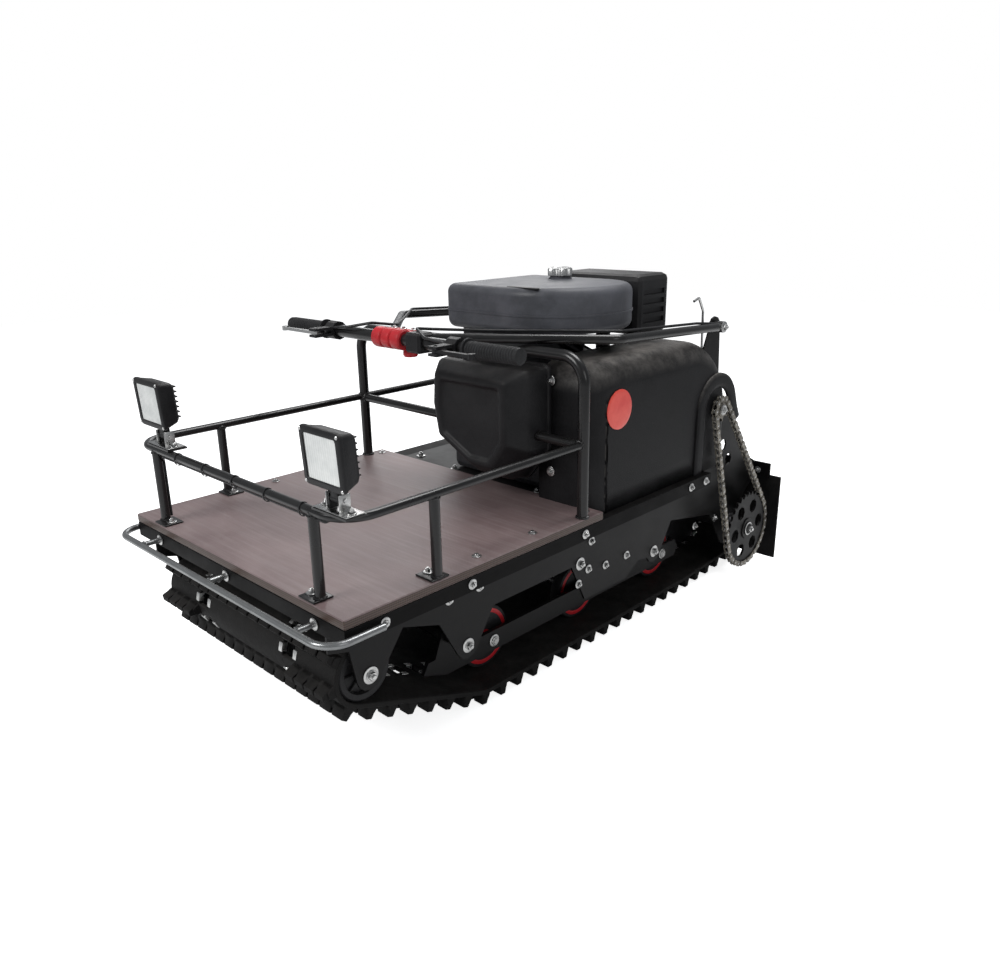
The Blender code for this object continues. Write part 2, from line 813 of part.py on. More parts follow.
jack = rod((-PLATE_OUT - 0.004, JACK_Y, JACK_Z), (AXLE_OUT, JACK_Y, JACK_Z), JACK_R)
finish(jack, "jackshaft", STEEL, (0, JACK_Y, JACK_Z))

# Frame, side plates and bearings
rails = box(RAIL_IN, RAIL_IN + TUBE_W, 0.0, FRAME_LEN, FRAME_Z0, FRAME_TOP)
crosses = [box(-RAIL_IN - 0.010, RAIL_IN + 0.010, y - TUBE_H / 2, y + TUBE_H / 2,
               FRAME_Z0 + 0.0005, FRAME_TOP - 0.0002) for y in CROSS_Y]
finish(boolean(rails, [mirrored(rails)] + crosses), "main_frame", PAINT)

def skirt():
    """The plate's lower edge, from the drive axle forward to the nose."""
    low = NOSE_Z + 0.018
    front = NOSE_Z + 0.052
    line = arc(DRIVE_Y, DRIVE_Z, 0.050, 20.0, -160.0, 6)
    line += [(DRIVE_Y - 0.090, low - 0.030), (HANGER_Y[1] + 0.060, low)]
    line += arc(HANGER_Y[1], HANGER_Z, 0.024, -20.0, -160.0, 4)
    line += [(HANGER_Y[1] - 0.055, APRON_Z + 0.025), (ROAD_Y[1] + 0.065, APRON_Z),
             (ROAD_Y[1] - 0.065, APRON_Z), (ROAD_Y[1] - 0.105, low),
             (HANGER_Y[0] + 0.060, low)]
    line += arc(HANGER_Y[0], HANGER_Z, 0.024, -20.0, -160.0, 4)
    line += [(HANGER_Y[0] - 0.060, low + 0.010), (NOSE_Y + 0.065, front)]
    line += arc(NOSE_Y, NOSE_Z, 0.024, -10.0, -170.0, 6)
    line += [(NOSE_Y - 0.034, front), (0.004, front + 0.010)]
    return line


def plate_outline():
    """The whole plate: the notched deck part, the tower and the skirt."""
    notch_z = FRAME_Z0 - GAP
    top = FRAME_TOP - 0.0005
    line = [(0.004, notch_z)]
    for y in CROSS_Y[:-1]:
        a = y - TUBE_H / 2 - GAP
        b = y + TUBE_H / 2 + GAP
        if y > CROSS_Y[0]:
            line += [(a, top), (a, notch_z)]
        line += [(b, notch_z), (b, top)]
    line += [(TOWER_FRONT, top), (TOWER_FRONT + 0.012, 0.40),
             (TOWER_FRONT + 0.040, TOWER_TOP - 0.030), (TOWER_FRONT + 0.075, TOWER_TOP),
             (PIVOT_Y - 0.040, TOWER_TOP)]
    line += arc(PIVOT_Y, PIVOT_Z, LUG_R, 190.0, -10.0, 6)
    line += [(PIVOT_Y + 0.028, 0.457), (1.144, 0.277), (FLAP_BAR_Y, BAR_REAR_Z + 0.020),
             (FLAP_BAR_Y, BAR_REAR_Z - 0.020), (DRIVE_Y + 0.062, DRIVE_Z + 0.060)]
    return line + skirt()


FLAP_BAR_Y = FLAP_Y - FLAP_T / 2 - BAR_REAR_T - 2 * GAP
BEARING_R = 0.026


def make_plate():
    """One side plate, cut round its shafts and the frame's rear cross tube."""
    y = CROSS_Y[-1]
    half = TUBE_H / 2 + GAP
    notch = [(y - half, FRAME_Z0 - GAP), (y + half, FRAME_Z0 - GAP),
             (y + half, FRAME_TOP + GAP), (y - half, FRAME_TOP + GAP)]
    outlines = [plate_outline(), notch,
                circle(DRIVE_Y, DRIVE_Z, bore(DRIVE_AXLE_R, RUN)),
                circle(JACK_Y, JACK_Z, bore(JACK_R, RUN)),
                circle(NOSE_Y, NOSE_Z, bore(IDLER_AXLE_R, GAP)),
                circle(PIVOT_Y, PIVOT_Z, bore(PIN_R, GAP))]
    for i in range(4):
        t = (i + 0.5) / 4
        outlines.append(circle(0.990 + 0.105 * t, 0.405 - 0.150 * t, 0.014, 8))
    return plate_x(outlines, PLATE_IN, PLATE_OUT)


PIN_R = 0.006
plate = make_plate()
finish(mirrored(plate), "side_plate_left", PAINT)
finish(plate, "side_plate_right", PAINT)


def bearing(y, z, shaft):
    """A round flange bearing on the outside of the right plate."""
    hole = bore(shaft, GAP)
    x0 = PLATE_OUT + GAP
    profile = [(hole, BEARING_T), (BEARING_R * 0.7, BEARING_T), (BEARING_R * 0.75, 0.005),
               (BEARING_R, 0.004), (BEARING_R, 0.0), (hole, 0.0), (hole, BEARING_T)]
    ring = turned(profile, 12)
    return shifted(ring, x0, y, z)


for label, y, z, shaft in (("drive", DRIVE_Y, DRIVE_Z, DRIVE_AXLE_R),
                           ("jack", JACK_Y, JACK_Z, JACK_R)):
    right = bearing(y, z, shaft)
    if label == "drive":
        finish(mirrored(right), "drive_bearing_left", CAST)
    finish(right, label + "_bearing_right", CAST)

# Slide rails of the track, hung from the side plates
skid_x0 = SKID_X - SKID_T / 2
skid_x1 = SKID_X + SKID_T / 2
half_h = SKID_H / 2
skid_outline = [(SKID_FRONT, ROAD_Z + half_h), (SKID_FRONT - 0.012, ROAD_Z),
                (SKID_FRONT + 0.040, ROAD_Z - half_h)]
skid_outline += [(SKID_REAR, ROAD_Z - half_h), (SKID_REAR + 0.012, ROAD_Z),
                 (SKID_REAR, ROAD_Z + half_h)]
for y in reversed(HANGER_Y):
    skid_outline += [(y + 0.030, ROAD_Z + half_h), (y + 0.013, HANGER_Z + 0.010),
                     (y - 0.013, HANGER_Z + 0.010), (y - 0.030, ROAD_Z + half_h)]
skid_holes = [circle(y, ROAD_Z, bore(ROAD_AXLE_R, GAP)) for y in ROAD_Y]
skid = plate_x([skid_outline] + skid_holes, skid_x0, skid_x1)
hangers = [rod((-PLATE_IN + GAP, y, HANGER_Z), (PLATE_IN - GAP, y, HANGER_Z), HANGER_R, 10)
           for y in HANGER_Y]
finish(boolean(skid, [mirrored(skid)] + hangers), "skid_frame", PAINT)

# Deck board
deck = box(-DECK_W / 2, DECK_W / 2, 0.0, DECK_LEN, FRAME_TOP + GAP, DECK_TOP, 0.0015)
finish(deck, "deck_board", PLY)

# Guard rails: one bent tube in front and along the right, one on the left
FOOT_T = 0.004


def post(x, y):
    """A post from its foot on the deck to the middle of the rail."""
    return rod((x, y, DECK_TOP + GAP), (x, y, RAIL_Z), POST_R, 10)


def foot(x, y):
    """The small plate under a post, wider towards the middle of the deck."""
    inner = x - math.copysign(0.0115, x)
    outer = x + math.copysign(0.008, x)
    return box(min(inner, outer), max(inner, outer), y - 0.016, y + 0.016,
               DECK_TOP + GAP, DECK_TOP + GAP + FOOT_T)


side_post_x = DECK_W / 2 - POST_R - 0.002
front_y = RAIL_FRONT + POST_R
line = rounded([(HOOP_X, HOOP_Y - HOOP_R - GAP, RAIL_Z), (RAIL_X, front_y, RAIL_Z),
                (0.0, front_y, RAIL_Z)], RAIL_CORNER, 5)
left_line = rounded([(0.0, front_y, RAIL_Z), (-RAIL_X, front_y, RAIL_Z),
                     (-HOOP_X, HOOP_Y - HOOP_R - GAP, RAIL_Z)], RAIL_CORNER, 5)
whole = tube(line + left_line[1:], RAIL_R)
posts = [post(s * POST_X, front_y) for s in (-1, 1)]
posts += [post(s * side_post_x, POST_Y) for s in (-1, 1)]
feet = [foot(s * POST_X, front_y) for s in (-1, 1)]
feet += [foot(s * side_post_x, POST_Y) for s in (-1, 1)]
finish(boolean(whole, posts + feet), "guard_rail", PAINT)

hoop_line = rounded([(-HOOP_X, HOOP_Y, DECK_TOP + GAP), (-HOOP_X, HOOP_Y, HOOP_TOP),
                     (HOOP_X, HOOP_Y, HOOP_TOP), (HOOP_X, HOOP_Y, DECK_TOP + GAP)],
                    HOOP_CORNER, 5)
hoop = tube(hoop_line, HOOP_R, 10)
hoop_bar = rod((-HOOP_X, HOOP_Y, HOOP_BAR_Z), (HOOP_X, HOOP_Y, HOOP_BAR_Z), HOOP_R * 0.85, 10)
rear_end = Vector((-PLATE_OUT - GAP - RAIL_R * 0.9, RAIL_LEFT_END + 0.055, RAIL_Z))
rear_rail = tube(rounded([(-HOOP_X, HOOP_Y, RAIL_Z), (-HOOP_X, RAIL_LEFT_END, RAIL_Z),
                          rear_end], 0.030, 3), RAIL_R)
finish(boolean(hoop, [hoop_bar, rear_rail]), "hoop", PAINT)

bumper_z = FRAME_Z0 + TUBE_H / 2
bump = tube(rounded([(-BUMPER_X, BUMPER_END, bumper_z), (-BUMPER_X, BUMPER_Y, bumper_z),
                     (BUMPER_X, BUMPER_Y, bumper_z), (BUMPER_X, BUMPER_END, bumper_z)],
                    BUMPER_CORNER, 5), BUMPER_R)
stubs = [rod((x, BUMPER_Y - BUMPER_R * 0.3, bumper_z), (x, -GAP, bumper_z),
             BUMPER_R * 0.85, 10) for x in STUB_X]
finish(boolean(bump, stubs), "bumper", TUBE_GREY)

# Work lamps: bracket on the rail, tilting housing with its lug, glass
RAIL_TOP = RAIL_Z + RAIL_R
LAMP_Z = RAIL_TOP + LAMP_LIFT
HINGE_Z = RAIL_TOP + LAMP_HINGE
STUD_R = 0.003


def lamp_fork(x):
    """Base plate on the rail with two short ears for the lamp's lug."""
    z0 = RAIL_TOP + GAP
    z1 = z0 + BRACKET_T
    half = BRACKET_W / 2
    fork = box(x - half, x + half, LAMP_Y - BRACKET_D / 2, LAMP_Y + BRACKET_D / 2, z0, z1)
    ears = []
    for s in (-1, 1):
        inner = x + s * (EAR_X + GAP)
        outer = inner + s * BRACKET_T
        ears.append(box(min(inner, outer), max(inner, outer), LAMP_Y - 0.007, LAMP_Y + 0.007,
                        z0 + BRACKET_T / 2, HINGE_Z + 0.007))
    ears += [rod((x + s * half * 0.75, LAMP_Y, z1 - 0.001),
                 (x + s * half * 0.75, LAMP_Y, z1 + 0.004), 0.006, 6) for s in (-1, 1)]
    fork = boolean(fork, ears)
    drill = rod((x - half, LAMP_Y, HINGE_Z), (x + half, LAMP_Y, HINGE_Z),
                bore(STUD_R, GAP, 8), 8)
    return boolean(fork, [drill], "DIFFERENCE")


def lamp_body(x):
    """Housing tapering to its finned back, hollow in front for the glass."""
    bm = bmesh.new()
    bmesh.ops.create_cube(bm, size=1.0)
    for v in bm.verts:
        wide = LAMP_W / 2 if v.co.z > 0 else LAMP_W * 0.43
        if v.co.y > 0:
            wide *= 0.80
        high = LAMP_H / 2 if v.co.y < 0 else LAMP_H * 0.40
        v.co.x = x + math.copysign(wide, v.co.x)
        v.co.z = LAMP_Z + math.copysign(high, v.co.z)
        v.co.y = LAMP_Y + math.copysign(LAMP_D / 2, v.co.y)
    bmesh.ops.bevel(bm, geom=bm.edges[:], offset=0.004, segments=1, profile=0.5,
                    affect="EDGES")
    body = solid(bm)
    reach = EAR_X + BRACKET_T + 2 * GAP
    parts = [box(x - EAR_X, x + EAR_X, LAMP_Y - 0.006, LAMP_Y + 0.006, HINGE_Z,
                 LAMP_Z - LAMP_H / 2 + 0.012),
             rod((x - EAR_X, LAMP_Y, HINGE_Z), (x + EAR_X, LAMP_Y, HINGE_Z), 0.0065, 12),
             rod((x - reach - 0.001, LAMP_Y, HINGE_Z), (x + reach + 0.001, LAMP_Y, HINGE_Z),
                 STUD_R, 8)]
    parts += [rod((x + s * reach, LAMP_Y, HINGE_Z), (x + s * (reach + 0.0035), LAMP_Y, HINGE_Z),
                  STUD_R * 1.9, 6) for s in (-1, 1)]
    back = LAMP_Y + LAMP_D / 2
    parts += [box(x - LAMP_W * 0.33, x + LAMP_W * 0.33, back - 0.006, back + 0.006,
                  LAMP_Z + k * 0.013 - 0.0015, LAMP_Z + k * 0.013 + 0.0015)
              for k in (-2, 0, 2)]
    body = boolean(body, parts)
    front = LAMP_Y - LAMP_D / 2
    well = box(x - GLASS_W / 2 - GAP, x + GLASS_W / 2 + GAP, front - 0.01,
               front + GLASS_T + GAP, LAMP_Z - GLASS_H / 2 - GAP, LAMP_Z + GLASS_H / 2 + GAP)
    return boolean(body, [well], "DIFFERENCE")


GLASS_W = LAMP_W * 0.76
GLASS_H = LAMP_H * 0.80
GLASS_T = 0.004
for label, x in (("left", LAMP_LEFT_X), ("right", LAMP_RIGHT_X)):
    finish(lamp_fork(x), "lamp_fork_" + label, PAINT)
    pivot = (x, LAMP_Y, HINGE_Z)
    housing = finish(lamp_body(x), "lamp_housing_" + label, PLASTIC, pivot)
    glass = box(x - GLASS_W / 2, x + GLASS_W / 2, LAMP_Y - LAMP_D / 2 + 0.001,
                LAMP_Y - LAMP_D / 2 + GLASS_T, LAMP_Z - GLASS_H / 2, LAMP_Z + GLASS_H / 2)
    glass = finish(glass, "lamp_glass_" + label, GLASS, pivot)
    housing.rotation_euler.x = LAMP_TILT
    glass.rotation_euler.x = LAMP_TILT

# Engine base, engine, starter, muffler, tank
base_z1 = FRAME_TOP + GAP + BASE_T
base = plate_z([[(-PLATE_IN + 0.004, DECK_LEN + GAP), (PLATE_IN - 0.004, DECK_LEN + GAP),
                 (PLATE_IN - 0.004, TOWER_FRONT + 0.112), (-PLATE_IN + 0.004, TOWER_FRONT + 0.112)]],
               FRAME_TOP + GAP, base_z1)
finish(base, "engine_base", PAINT)

crank_y = ENGINE_Y
LEAN = math.radians(-25.0)
case = box(-ENGINE_HALF, ENGINE_HALF + 0.040, crank_y - 0.105, crank_y + 0.105,
           base_z1 + GAP, CRANK_Z + 0.095, 0.014, 2)
core = box(-0.055, 0.060, crank_y - 0.045, crank_y + 0.045, CRANK_Z, CRANK_Z + 0.185)
fins = [box(-0.070, 0.075, crank_y - 0.060, crank_y + 0.060,
            CRANK_Z + 0.112 + 0.014 * k, CRANK_Z + 0.117 + 0.014 * k) for k in range(5)]
barrel = turned_about(boolean(core, fins), LEAN, "X", crank_y, CRANK_Z)
saddle = box(-0.045, 0.110, TANK_FRONT + 0.035, crank_y - 0.030, CRANK_Z + 0.080, TANK_Z - GAP)
nose = rod((ENGINE_HALF + 0.030, crank_y, CRANK_Z), (ENGINE_HALF + 0.052, crank_y, CRANK_Z),
           0.045, 16)
shaft = rod((ENGINE_HALF + 0.030, crank_y, CRANK_Z), (HOOD_IN + 0.035, crank_y, CRANK_Z),
            0.0125, 12)
port = rod((0.085, MUFFLER_FRONT + 0.050, CRANK_Z + 0.100),
           (0.085, MUFFLER_FRONT + 0.050, MUFFLER_Z - GAP), 0.015, 12)
flange = box(0.050, 0.120, crank_y + 0.060, MUFFLER_FRONT + 0.080, CRANK_Z + 0.080,
             CRANK_Z + 0.108)
finish(boolean(case, [barrel, saddle, nose, shaft, flange, port]), "engine_block", CAST)

starter = turned([(0.0, 0.0), (STARTER_R - 0.008, 0.0), (STARTER_R, 0.008),
                  (STARTER_R, STARTER_T * 0.58), (STARTER_R - 0.008, STARTER_T * 0.76),
                  (STARTER_R * 0.58, STARTER_T * 0.8), (STARTER_R * 0.54, STARTER_T * 0.96),
                  (STARTER_R * 0.3, STARTER_T), (0.0, STARTER_T)][::-1], 22)
starter = flipped(shifted(starter, ENGINE_HALF + GAP, crank_y, CRANK_Z + 0.018))
GRIP_Z = CRANK_Z + STARTER_R * 0.8
grip_y = crank_y + STARTER_R + 0.010
pull_x = -ENGINE_HALF - STARTER_T / 2
boss = box(pull_x - 0.014, pull_x + 0.014, crank_y + STARTER_R * 0.45, grip_y,
           GRIP_Z - 0.014, GRIP_Z + 0.014)
finish(boolean(starter, [boss]), "recoil_starter", PLASTIC)
pull = rod((pull_x, grip_y + GAP, GRIP_Z), (pull_x, grip_y + 0.016, GRIP_Z), 0.006, 10)
bar = rod((pull_x, grip_y + 0.020, GRIP_Z - GRIP_HALF), (pull_x, grip_y + 0.020,
                                                         GRIP_Z + GRIP_HALF), 0.009, 10)
finish(boolean(pull, [bar]), "starter_grip", PLASTIC, (pull_x, grip_y, GRIP_Z))

tank_outline = arc(TANK_RIGHT - TANK_CORNER, TANK_FRONT + TANK_CORNER, TANK_CORNER,
                   -90.0, 0.0, 6)
tank_outline += arc(TANK_RIGHT - 0.040, TANK_REAR - 0.040, 0.040, 0.0, 90.0, 3)
tank_outline += arc(TANK_LEFT + 0.020, TANK_REAR - 0.020, 0.020, 90.0, 180.0, 2)
tank_outline += arc(TANK_LEFT + 0.012, TANK_FRONT + 0.012, 0.012, 180.0, 270.0, 2)
tank = plate_z([tank_outline], TANK_Z, TANK_Z + TANK_H)
soften = tank.modifiers.new("edge", "BEVEL")
soften.width = 0.010
soften.segments = 2
soften.limit_method = "ANGLE"
soften.angle_limit = math.radians(60)
tank = bake(tank)
CAP_X = 0.060
CAP_Y = TANK_REAR - 0.055
neck_z = TANK_Z + TANK_H
neck = rod((CAP_X, CAP_Y, neck_z - 0.003), (CAP_X, CAP_Y, neck_z + 0.005), CAP_R * 0.8, 16)
finish(boolean(tank, [neck]), "fuel_tank", TANK_GREY)
cap = turned([(0.0, 0.017), (CAP_R - 0.003, 0.017), (CAP_R, 0.013), (CAP_R, 0.0),
              (0.0, 0.0)], 16, "Z")
finish(shifted(cap, CAP_X, CAP_Y, neck_z + 0.005 + GAP), "fuel_cap", STEEL,
       (CAP_X, CAP_Y, neck_z + 0.005 + GAP))

shield = box(MUFFLER_LEFT, MUFFLER_RIGHT, MUFFLER_FRONT, MUFFLER_REAR, MUFFLER_Z, MUFFLER_TOP,
             0.012, 2)
slots = [box(MUFFLER_RIGHT - 0.004, MUFFLER_RIGHT + 0.01, MUFFLER_FRONT + 0.018,
             MUFFLER_REAR - 0.018, MUFFLER_Z + 0.022 + k * 0.018, MUFFLER_Z + 0.032 + k * 0.018)
         for k in range(4)]
finish(boolean(shield, slots, "DIFFERENCE"), "muffler_shield", PLASTIC)

LATCH_Y = PIVOT_Y - 0.034
LATCH_Z = TOWER_TOP - 0.022


# Drive hood: a shell open towards the engine, below and behind
def hood():
    """Hood outline in (y, z), pushed out to its side wall and shelled."""
    low = FRAME_TOP + GAP
    line = [(HOOD_FRONT, low)]
    line += arc(HOOD_FRONT + 0.035, HOOD_TOP - 0.035, 0.035, 180.0, 90.0, 3)
    line += arc(HOOD_REAR - 0.150, HOOD_TOP - 0.150, 0.150, 90.0, 10.0, 6)
    line += [(HOOD_REAR, HOOD_TOP - 0.185), (HOOD_REAR, low)]
    shell = plate_x([line], HOOD_IN, HOOD_OUT)
    bm = bmesh.new()
    bm.from_mesh(shell.data)
    bpy.data.objects.remove(shell, do_unlink=True)
    bmesh.ops.dissolve_limit(bm, angle_limit=0.002, verts=[], edges=bm.edges)
    rim = [e for e in bm.edges if all(v.co.x > HOOD_OUT - 0.0001 for v in e.verts)
           and not all(v.co.z < low + 0.0001 for v in e.verts)
           and not all(v.co.y > HOOD_REAR - 0.0001 for v in e.verts)]
    bmesh.ops.bevel(bm, geom=rim, offset=0.020, segments=2, profile=0.5, affect="EDGES")
    open_faces = [f for f in bm.faces if f.normal.x < -0.9 or f.normal.z < -0.9
                  or (f.normal.y > 0.99 and f.calc_center_median().y > HOOD_REAR - 0.001)]
    bmesh.ops.delete(bm, geom=open_faces, context="FACES")
    mesh = bpy.data.meshes.new("hood")
    bm.to_mesh(mesh)
    bm.free()
    skin = scratch(mesh)
    wall = skin.modifiers.new("wall", "SOLIDIFY")
    wall.thickness = HOOD_T
    wall.offset = -1.0
    skin = bake(skin)
    slot = box(PLATE_IN - 0.0085, PLATE_OUT + RUN, LATCH_Y - 0.040, HOOD_REAR + 0.02,
               HOOD_TOP - 0.190, HOOD_TOP + 0.02)
    drill = rod((HOOD_OUT - 0.02, JACK_Y, JACK_Z), (HOOD_OUT + 0.02, JACK_Y, JACK_Z),
                BEARING_R + 0.004, 16)
    sill = box(HOOD_IN - 0.01, HOOD_OUT + 0.01, HOOD_FRONT - 0.01, DECK_LEN + GAP,
               low - 0.01, DECK_TOP + GAP)
    return boolean(skin, [slot, drill, sill], "DIFFERENCE")


def arch():
    """The moulded rib on the hood: round the upper chain wheel and down."""
    low = FRAME_TOP + GAP
    outer = arc(JACK_Y, JACK_Z, ARCH_OUT, 178.0, 40.0, 10)
    inner = arc(JACK_Y, JACK_Z, ARCH_IN, 30.0, 178.0, 10)
    line = [(JACK_Y - ARCH_OUT - 0.006, low), *outer, *inner, (JACK_Y - ARCH_IN - 0.006, low)]
    return plate_x([line], HOOD_OUT - 0.001, HOOD_OUT + 0.0055)


finish(boolean(hood(), [arch()]), "drive_hood", PLASTIC)
badge = rod((HOOD_OUT + GAP, BADGE_Y, BADGE_Z), (HOOD_OUT + 0.0025, BADGE_Y, BADGE_Z),
            BADGE_R, 24)
finish(badge, "hood_disc", RED)

# Front guard: an angular moulded cover in front of the engine
GUARD_DEPTH = 0.086
GUARD_H = 0.218
GUARD_LEFT = -0.048
GUARD_RIGHT = HOOD_IN + 0.030
GUARD_LOW = 0.338


def front_guard():
    """An outline that narrows downward, drawn in towards its leaning front."""
    wide = GUARD_RIGHT - GUARD_LEFT
    shape = [(0.03, 1.0), (0.0, 0.62), (0.06, 0.26), (0.50, 0.0), (0.80, 0.0), (1.0, 0.30),
             (1.0, 1.0)]
    rear = HOOD_FRONT - GAP
    levels = [(0.0, 1.0, 0.0), (0.55, 0.97, 0.0), (1.0, 0.74, 0.03)]
    bm = bmesh.new()
    rings = []
    for depth, scale, rise in levels:
        loop = []
        for u, v in shape:
            x = GUARD_LEFT + wide * (0.5 + (u - 0.5) * scale)
            z = GUARD_LOW + GUARD_H * (0.45 + rise + (v - 0.45) * scale)
            loop.append(bm.verts.new((x, rear - GUARD_DEPTH * depth, z)))
        rings.append(loop)
    bm.faces.new(rings[0])
    bm.faces.new(rings[-1])
    for a, b in zip(rings, rings[1:]):
        for i in range(len(shape)):
            k = (i + 1) % len(shape)
            bm.faces.new((a[i], a[k], b[k], b[i]))
    bmesh.ops.bevel(bm, geom=bm.edges[:], offset=0.004, segments=1, profile=0.5,
                    affect="EDGES")
    way = rod((-HOOP_X, HOOP_Y, HOOP_BAR_Z), (HOOP_X, HOOP_Y, HOOP_BAR_Z),
              bore(HOOP_R * 0.85, GAP, 10), 10)
    return boolean(solid(bm), [way], "DIFFERENCE")


finish(front_guard(), "front_guard", PLASTIC)

# Folding handle


def handle_arms():
    """One bent tube: pivot, kink, middle, kink, pivot, with flattened eyes."""
    half = [(ARM_X, PIVOT_Y, PIVOT_Z), (KINK_X, KINK_Y, KINK_Z), (0.030, ARM_FRONT, BAR_Z)]
    other = [(-x, y, z) for x, y, z in half[::-1]]
    arms = tube(rounded(half + other, 0.030, 3), ARM_R, 8)
    pins = []
    for s in (-1, 1):
        eye = rod((s * (PLATE_OUT + GAP), PIVOT_Y, PIVOT_Z),
                  (s * (ARM_X + ARM_R), PIVOT_Y, PIVOT_Z), ARM_R * 1.35, 10)
        pin = rod((s * (PLATE_IN - 0.006), PIVOT_Y, PIVOT_Z), (s * ARM_X, PIVOT_Y, PIVOT_Z),
                  PIN_R, 12)
        pins += [eye, pin]
    return boolean(arms, pins)


pivot = (0.0, PIVOT_Y, PIVOT_Z)
finish(handle_arms(), "handle_arms", PAINT, pivot)
bar = rod((-BAR_HALF, BAR_Y, BAR_Z), (BAR_HALF, BAR_Y, BAR_Z), BAR_R, 12)
finish(bar, "handlebar", PAINT, pivot)
for label, s in (("left", -1), ("right", 1)):
    hole = bore(BAR_R, GAP, 14)
    out_x = BAR_HALF + 0.004
    in_x = out_x - GRIP_LEN
    profile = [(0.0, out_x), (0.0, BAR_HALF + GAP), (hole, BAR_HALF + GAP), (hole, in_x),
               (GRIP_R + 0.004, in_x), (GRIP_R + 0.004, in_x + 0.004), (GRIP_R, in_x + 0.004),
               (GRIP_R, out_x), (0.0, out_x)]
    grip = shifted(turned(profile[::-1], 14), 0.0, BAR_Y, BAR_Z)
    if s < 0:
        grip = flipped(grip)
    finish(grip, "grip_" + label, RUBBER, pivot)

CLAMP_W = 0.078
clamp = box(-CLAMP_W / 2, CLAMP_W / 2, BAR_Y - 0.020, ARM_FRONT + 0.014, BAR_Z - 0.018,
            BAR_Z + 0.018, 0.005)
bar_cut = rod((-0.1, BAR_Y, BAR_Z), (0.1, BAR_Y, BAR_Z), bore(BAR_R, GAP, 12), 12)
arm_cut = tube(rounded([(0.120, ARM_FRONT + 0.0838, BAR_Z), (0.030, ARM_FRONT, BAR_Z),
                        (-0.030, ARM_FRONT, BAR_Z), (-0.120, ARM_FRONT + 0.0838, BAR_Z)],
                       0.030, 3), ARM_R + 0.0012, 8)
finish(boolean(clamp, [bar_cut, arm_cut], "DIFFERENCE"), "handle_clamp", RED, pivot)


LEVER_Y = BAR_Y - LEVER_REACH


def perch(x):
    """A lever perch: a ring round the bar with a forward lug."""
    ring = rod((x - 0.012, BAR_Y, BAR_Z), (x + 0.012, BAR_Y, BAR_Z), BAR_R + 0.006, 12)
    front = LEVER_Y - 0.008
    lug = box(x - 0.010, x + 0.010, front, BAR_Y - 0.008, BAR_Z - 0.008, BAR_Z - 0.0035)
    lug_top = box(x - 0.010, x + 0.010, front, BAR_Y - 0.008, BAR_Z + 0.0035, BAR_Z + 0.008)
    body = boolean(ring, [lug, lug_top])
    cut = rod((x - 0.05, BAR_Y, BAR_Z), (x + 0.05, BAR_Y, BAR_Z), bore(BAR_R, GAP, 12), 12)
    pin_cut = rod((x, LEVER_Y, BAR_Z - 0.02), (x, LEVER_Y, BAR_Z + 0.02),
                  bore(0.0025, GAP, 8), 8)
    return boolean(body, [cut, pin_cut], "DIFFERENCE")


def lever(x, length):
    """A lever blade between the perch's lugs, with its pin and knob end."""
    y0 = LEVER_Y
    hub = rod((x, y0, BAR_Z - 0.0030), (x, y0, BAR_Z + 0.0030), 0.0065, 10)
    pin = rod((x, y0, BAR_Z - 0.0095), (x, y0, BAR_Z + 0.0095), 0.0025, 8)
    blade = box(x, x + length, y0 - 0.0045, y0 + 0.0035, BAR_Z - 0.0026, BAR_Z + 0.0026)
    knob = rod((x + length, y0, BAR_Z - 0.004), (x + length, y0, BAR_Z + 0.004), 0.006, 8)
    return boolean(hub, [pin, blade, knob])


PERCH_X = BAR_HALF - GRIP_LEN - 0.022
for label, s, length in (("brake", -1, 0.100), ("throttle", 1, 0.080)):
    holder = perch(PERCH_X)
    blade = lever(PERCH_X, length)
    if s < 0:
        holder, blade = flipped(holder), flipped(blade)
    finish(holder, label + "_perch", PLASTIC, pivot)
    finish(blade, label + "_lever", STEEL if s < 0 else PLASTIC, (s * PERCH_X, LEVER_Y, BAR_Z))

switch = box(0.055, 0.092, BAR_Y - 0.018, BAR_Y + 0.018, BAR_Z - 0.017, BAR_Z + 0.017, 0.004)
switch_cut = rod((0.0, BAR_Y, BAR_Z), (0.12, BAR_Y, BAR_Z), bore(BAR_R, GAP, 12), 12)
finish(boolean(switch, [switch_cut], "DIFFERENCE"), "switch_block", PLASTIC, pivot)

latch_x = PLATE_IN - GAP - 0.003
hook = tube(rounded([(latch_x, LATCH_Y, LATCH_Z),
                     (latch_x, LATCH_Y - LATCH_RUN * 0.1, LATCH_Z + LATCH_RISE * 0.79),
                     (latch_x, LATCH_Y - LATCH_RUN * 0.55, LATCH_Z + LATCH_RISE),
                     (latch_x, LATCH_Y - LATCH_RUN, LATCH_Z + LATCH_RISE * 0.955)],
                    0.006, 2), 0.0028, 6)
boss = rod((latch_x - 0.003, LATCH_Y, LATCH_Z), (latch_x + 0.003, LATCH_Y, LATCH_Z), 0.008, 10)
finish(boolean(hook, [boss]), "latch_hook", STEEL, (latch_x, LATCH_Y, LATCH_Z))

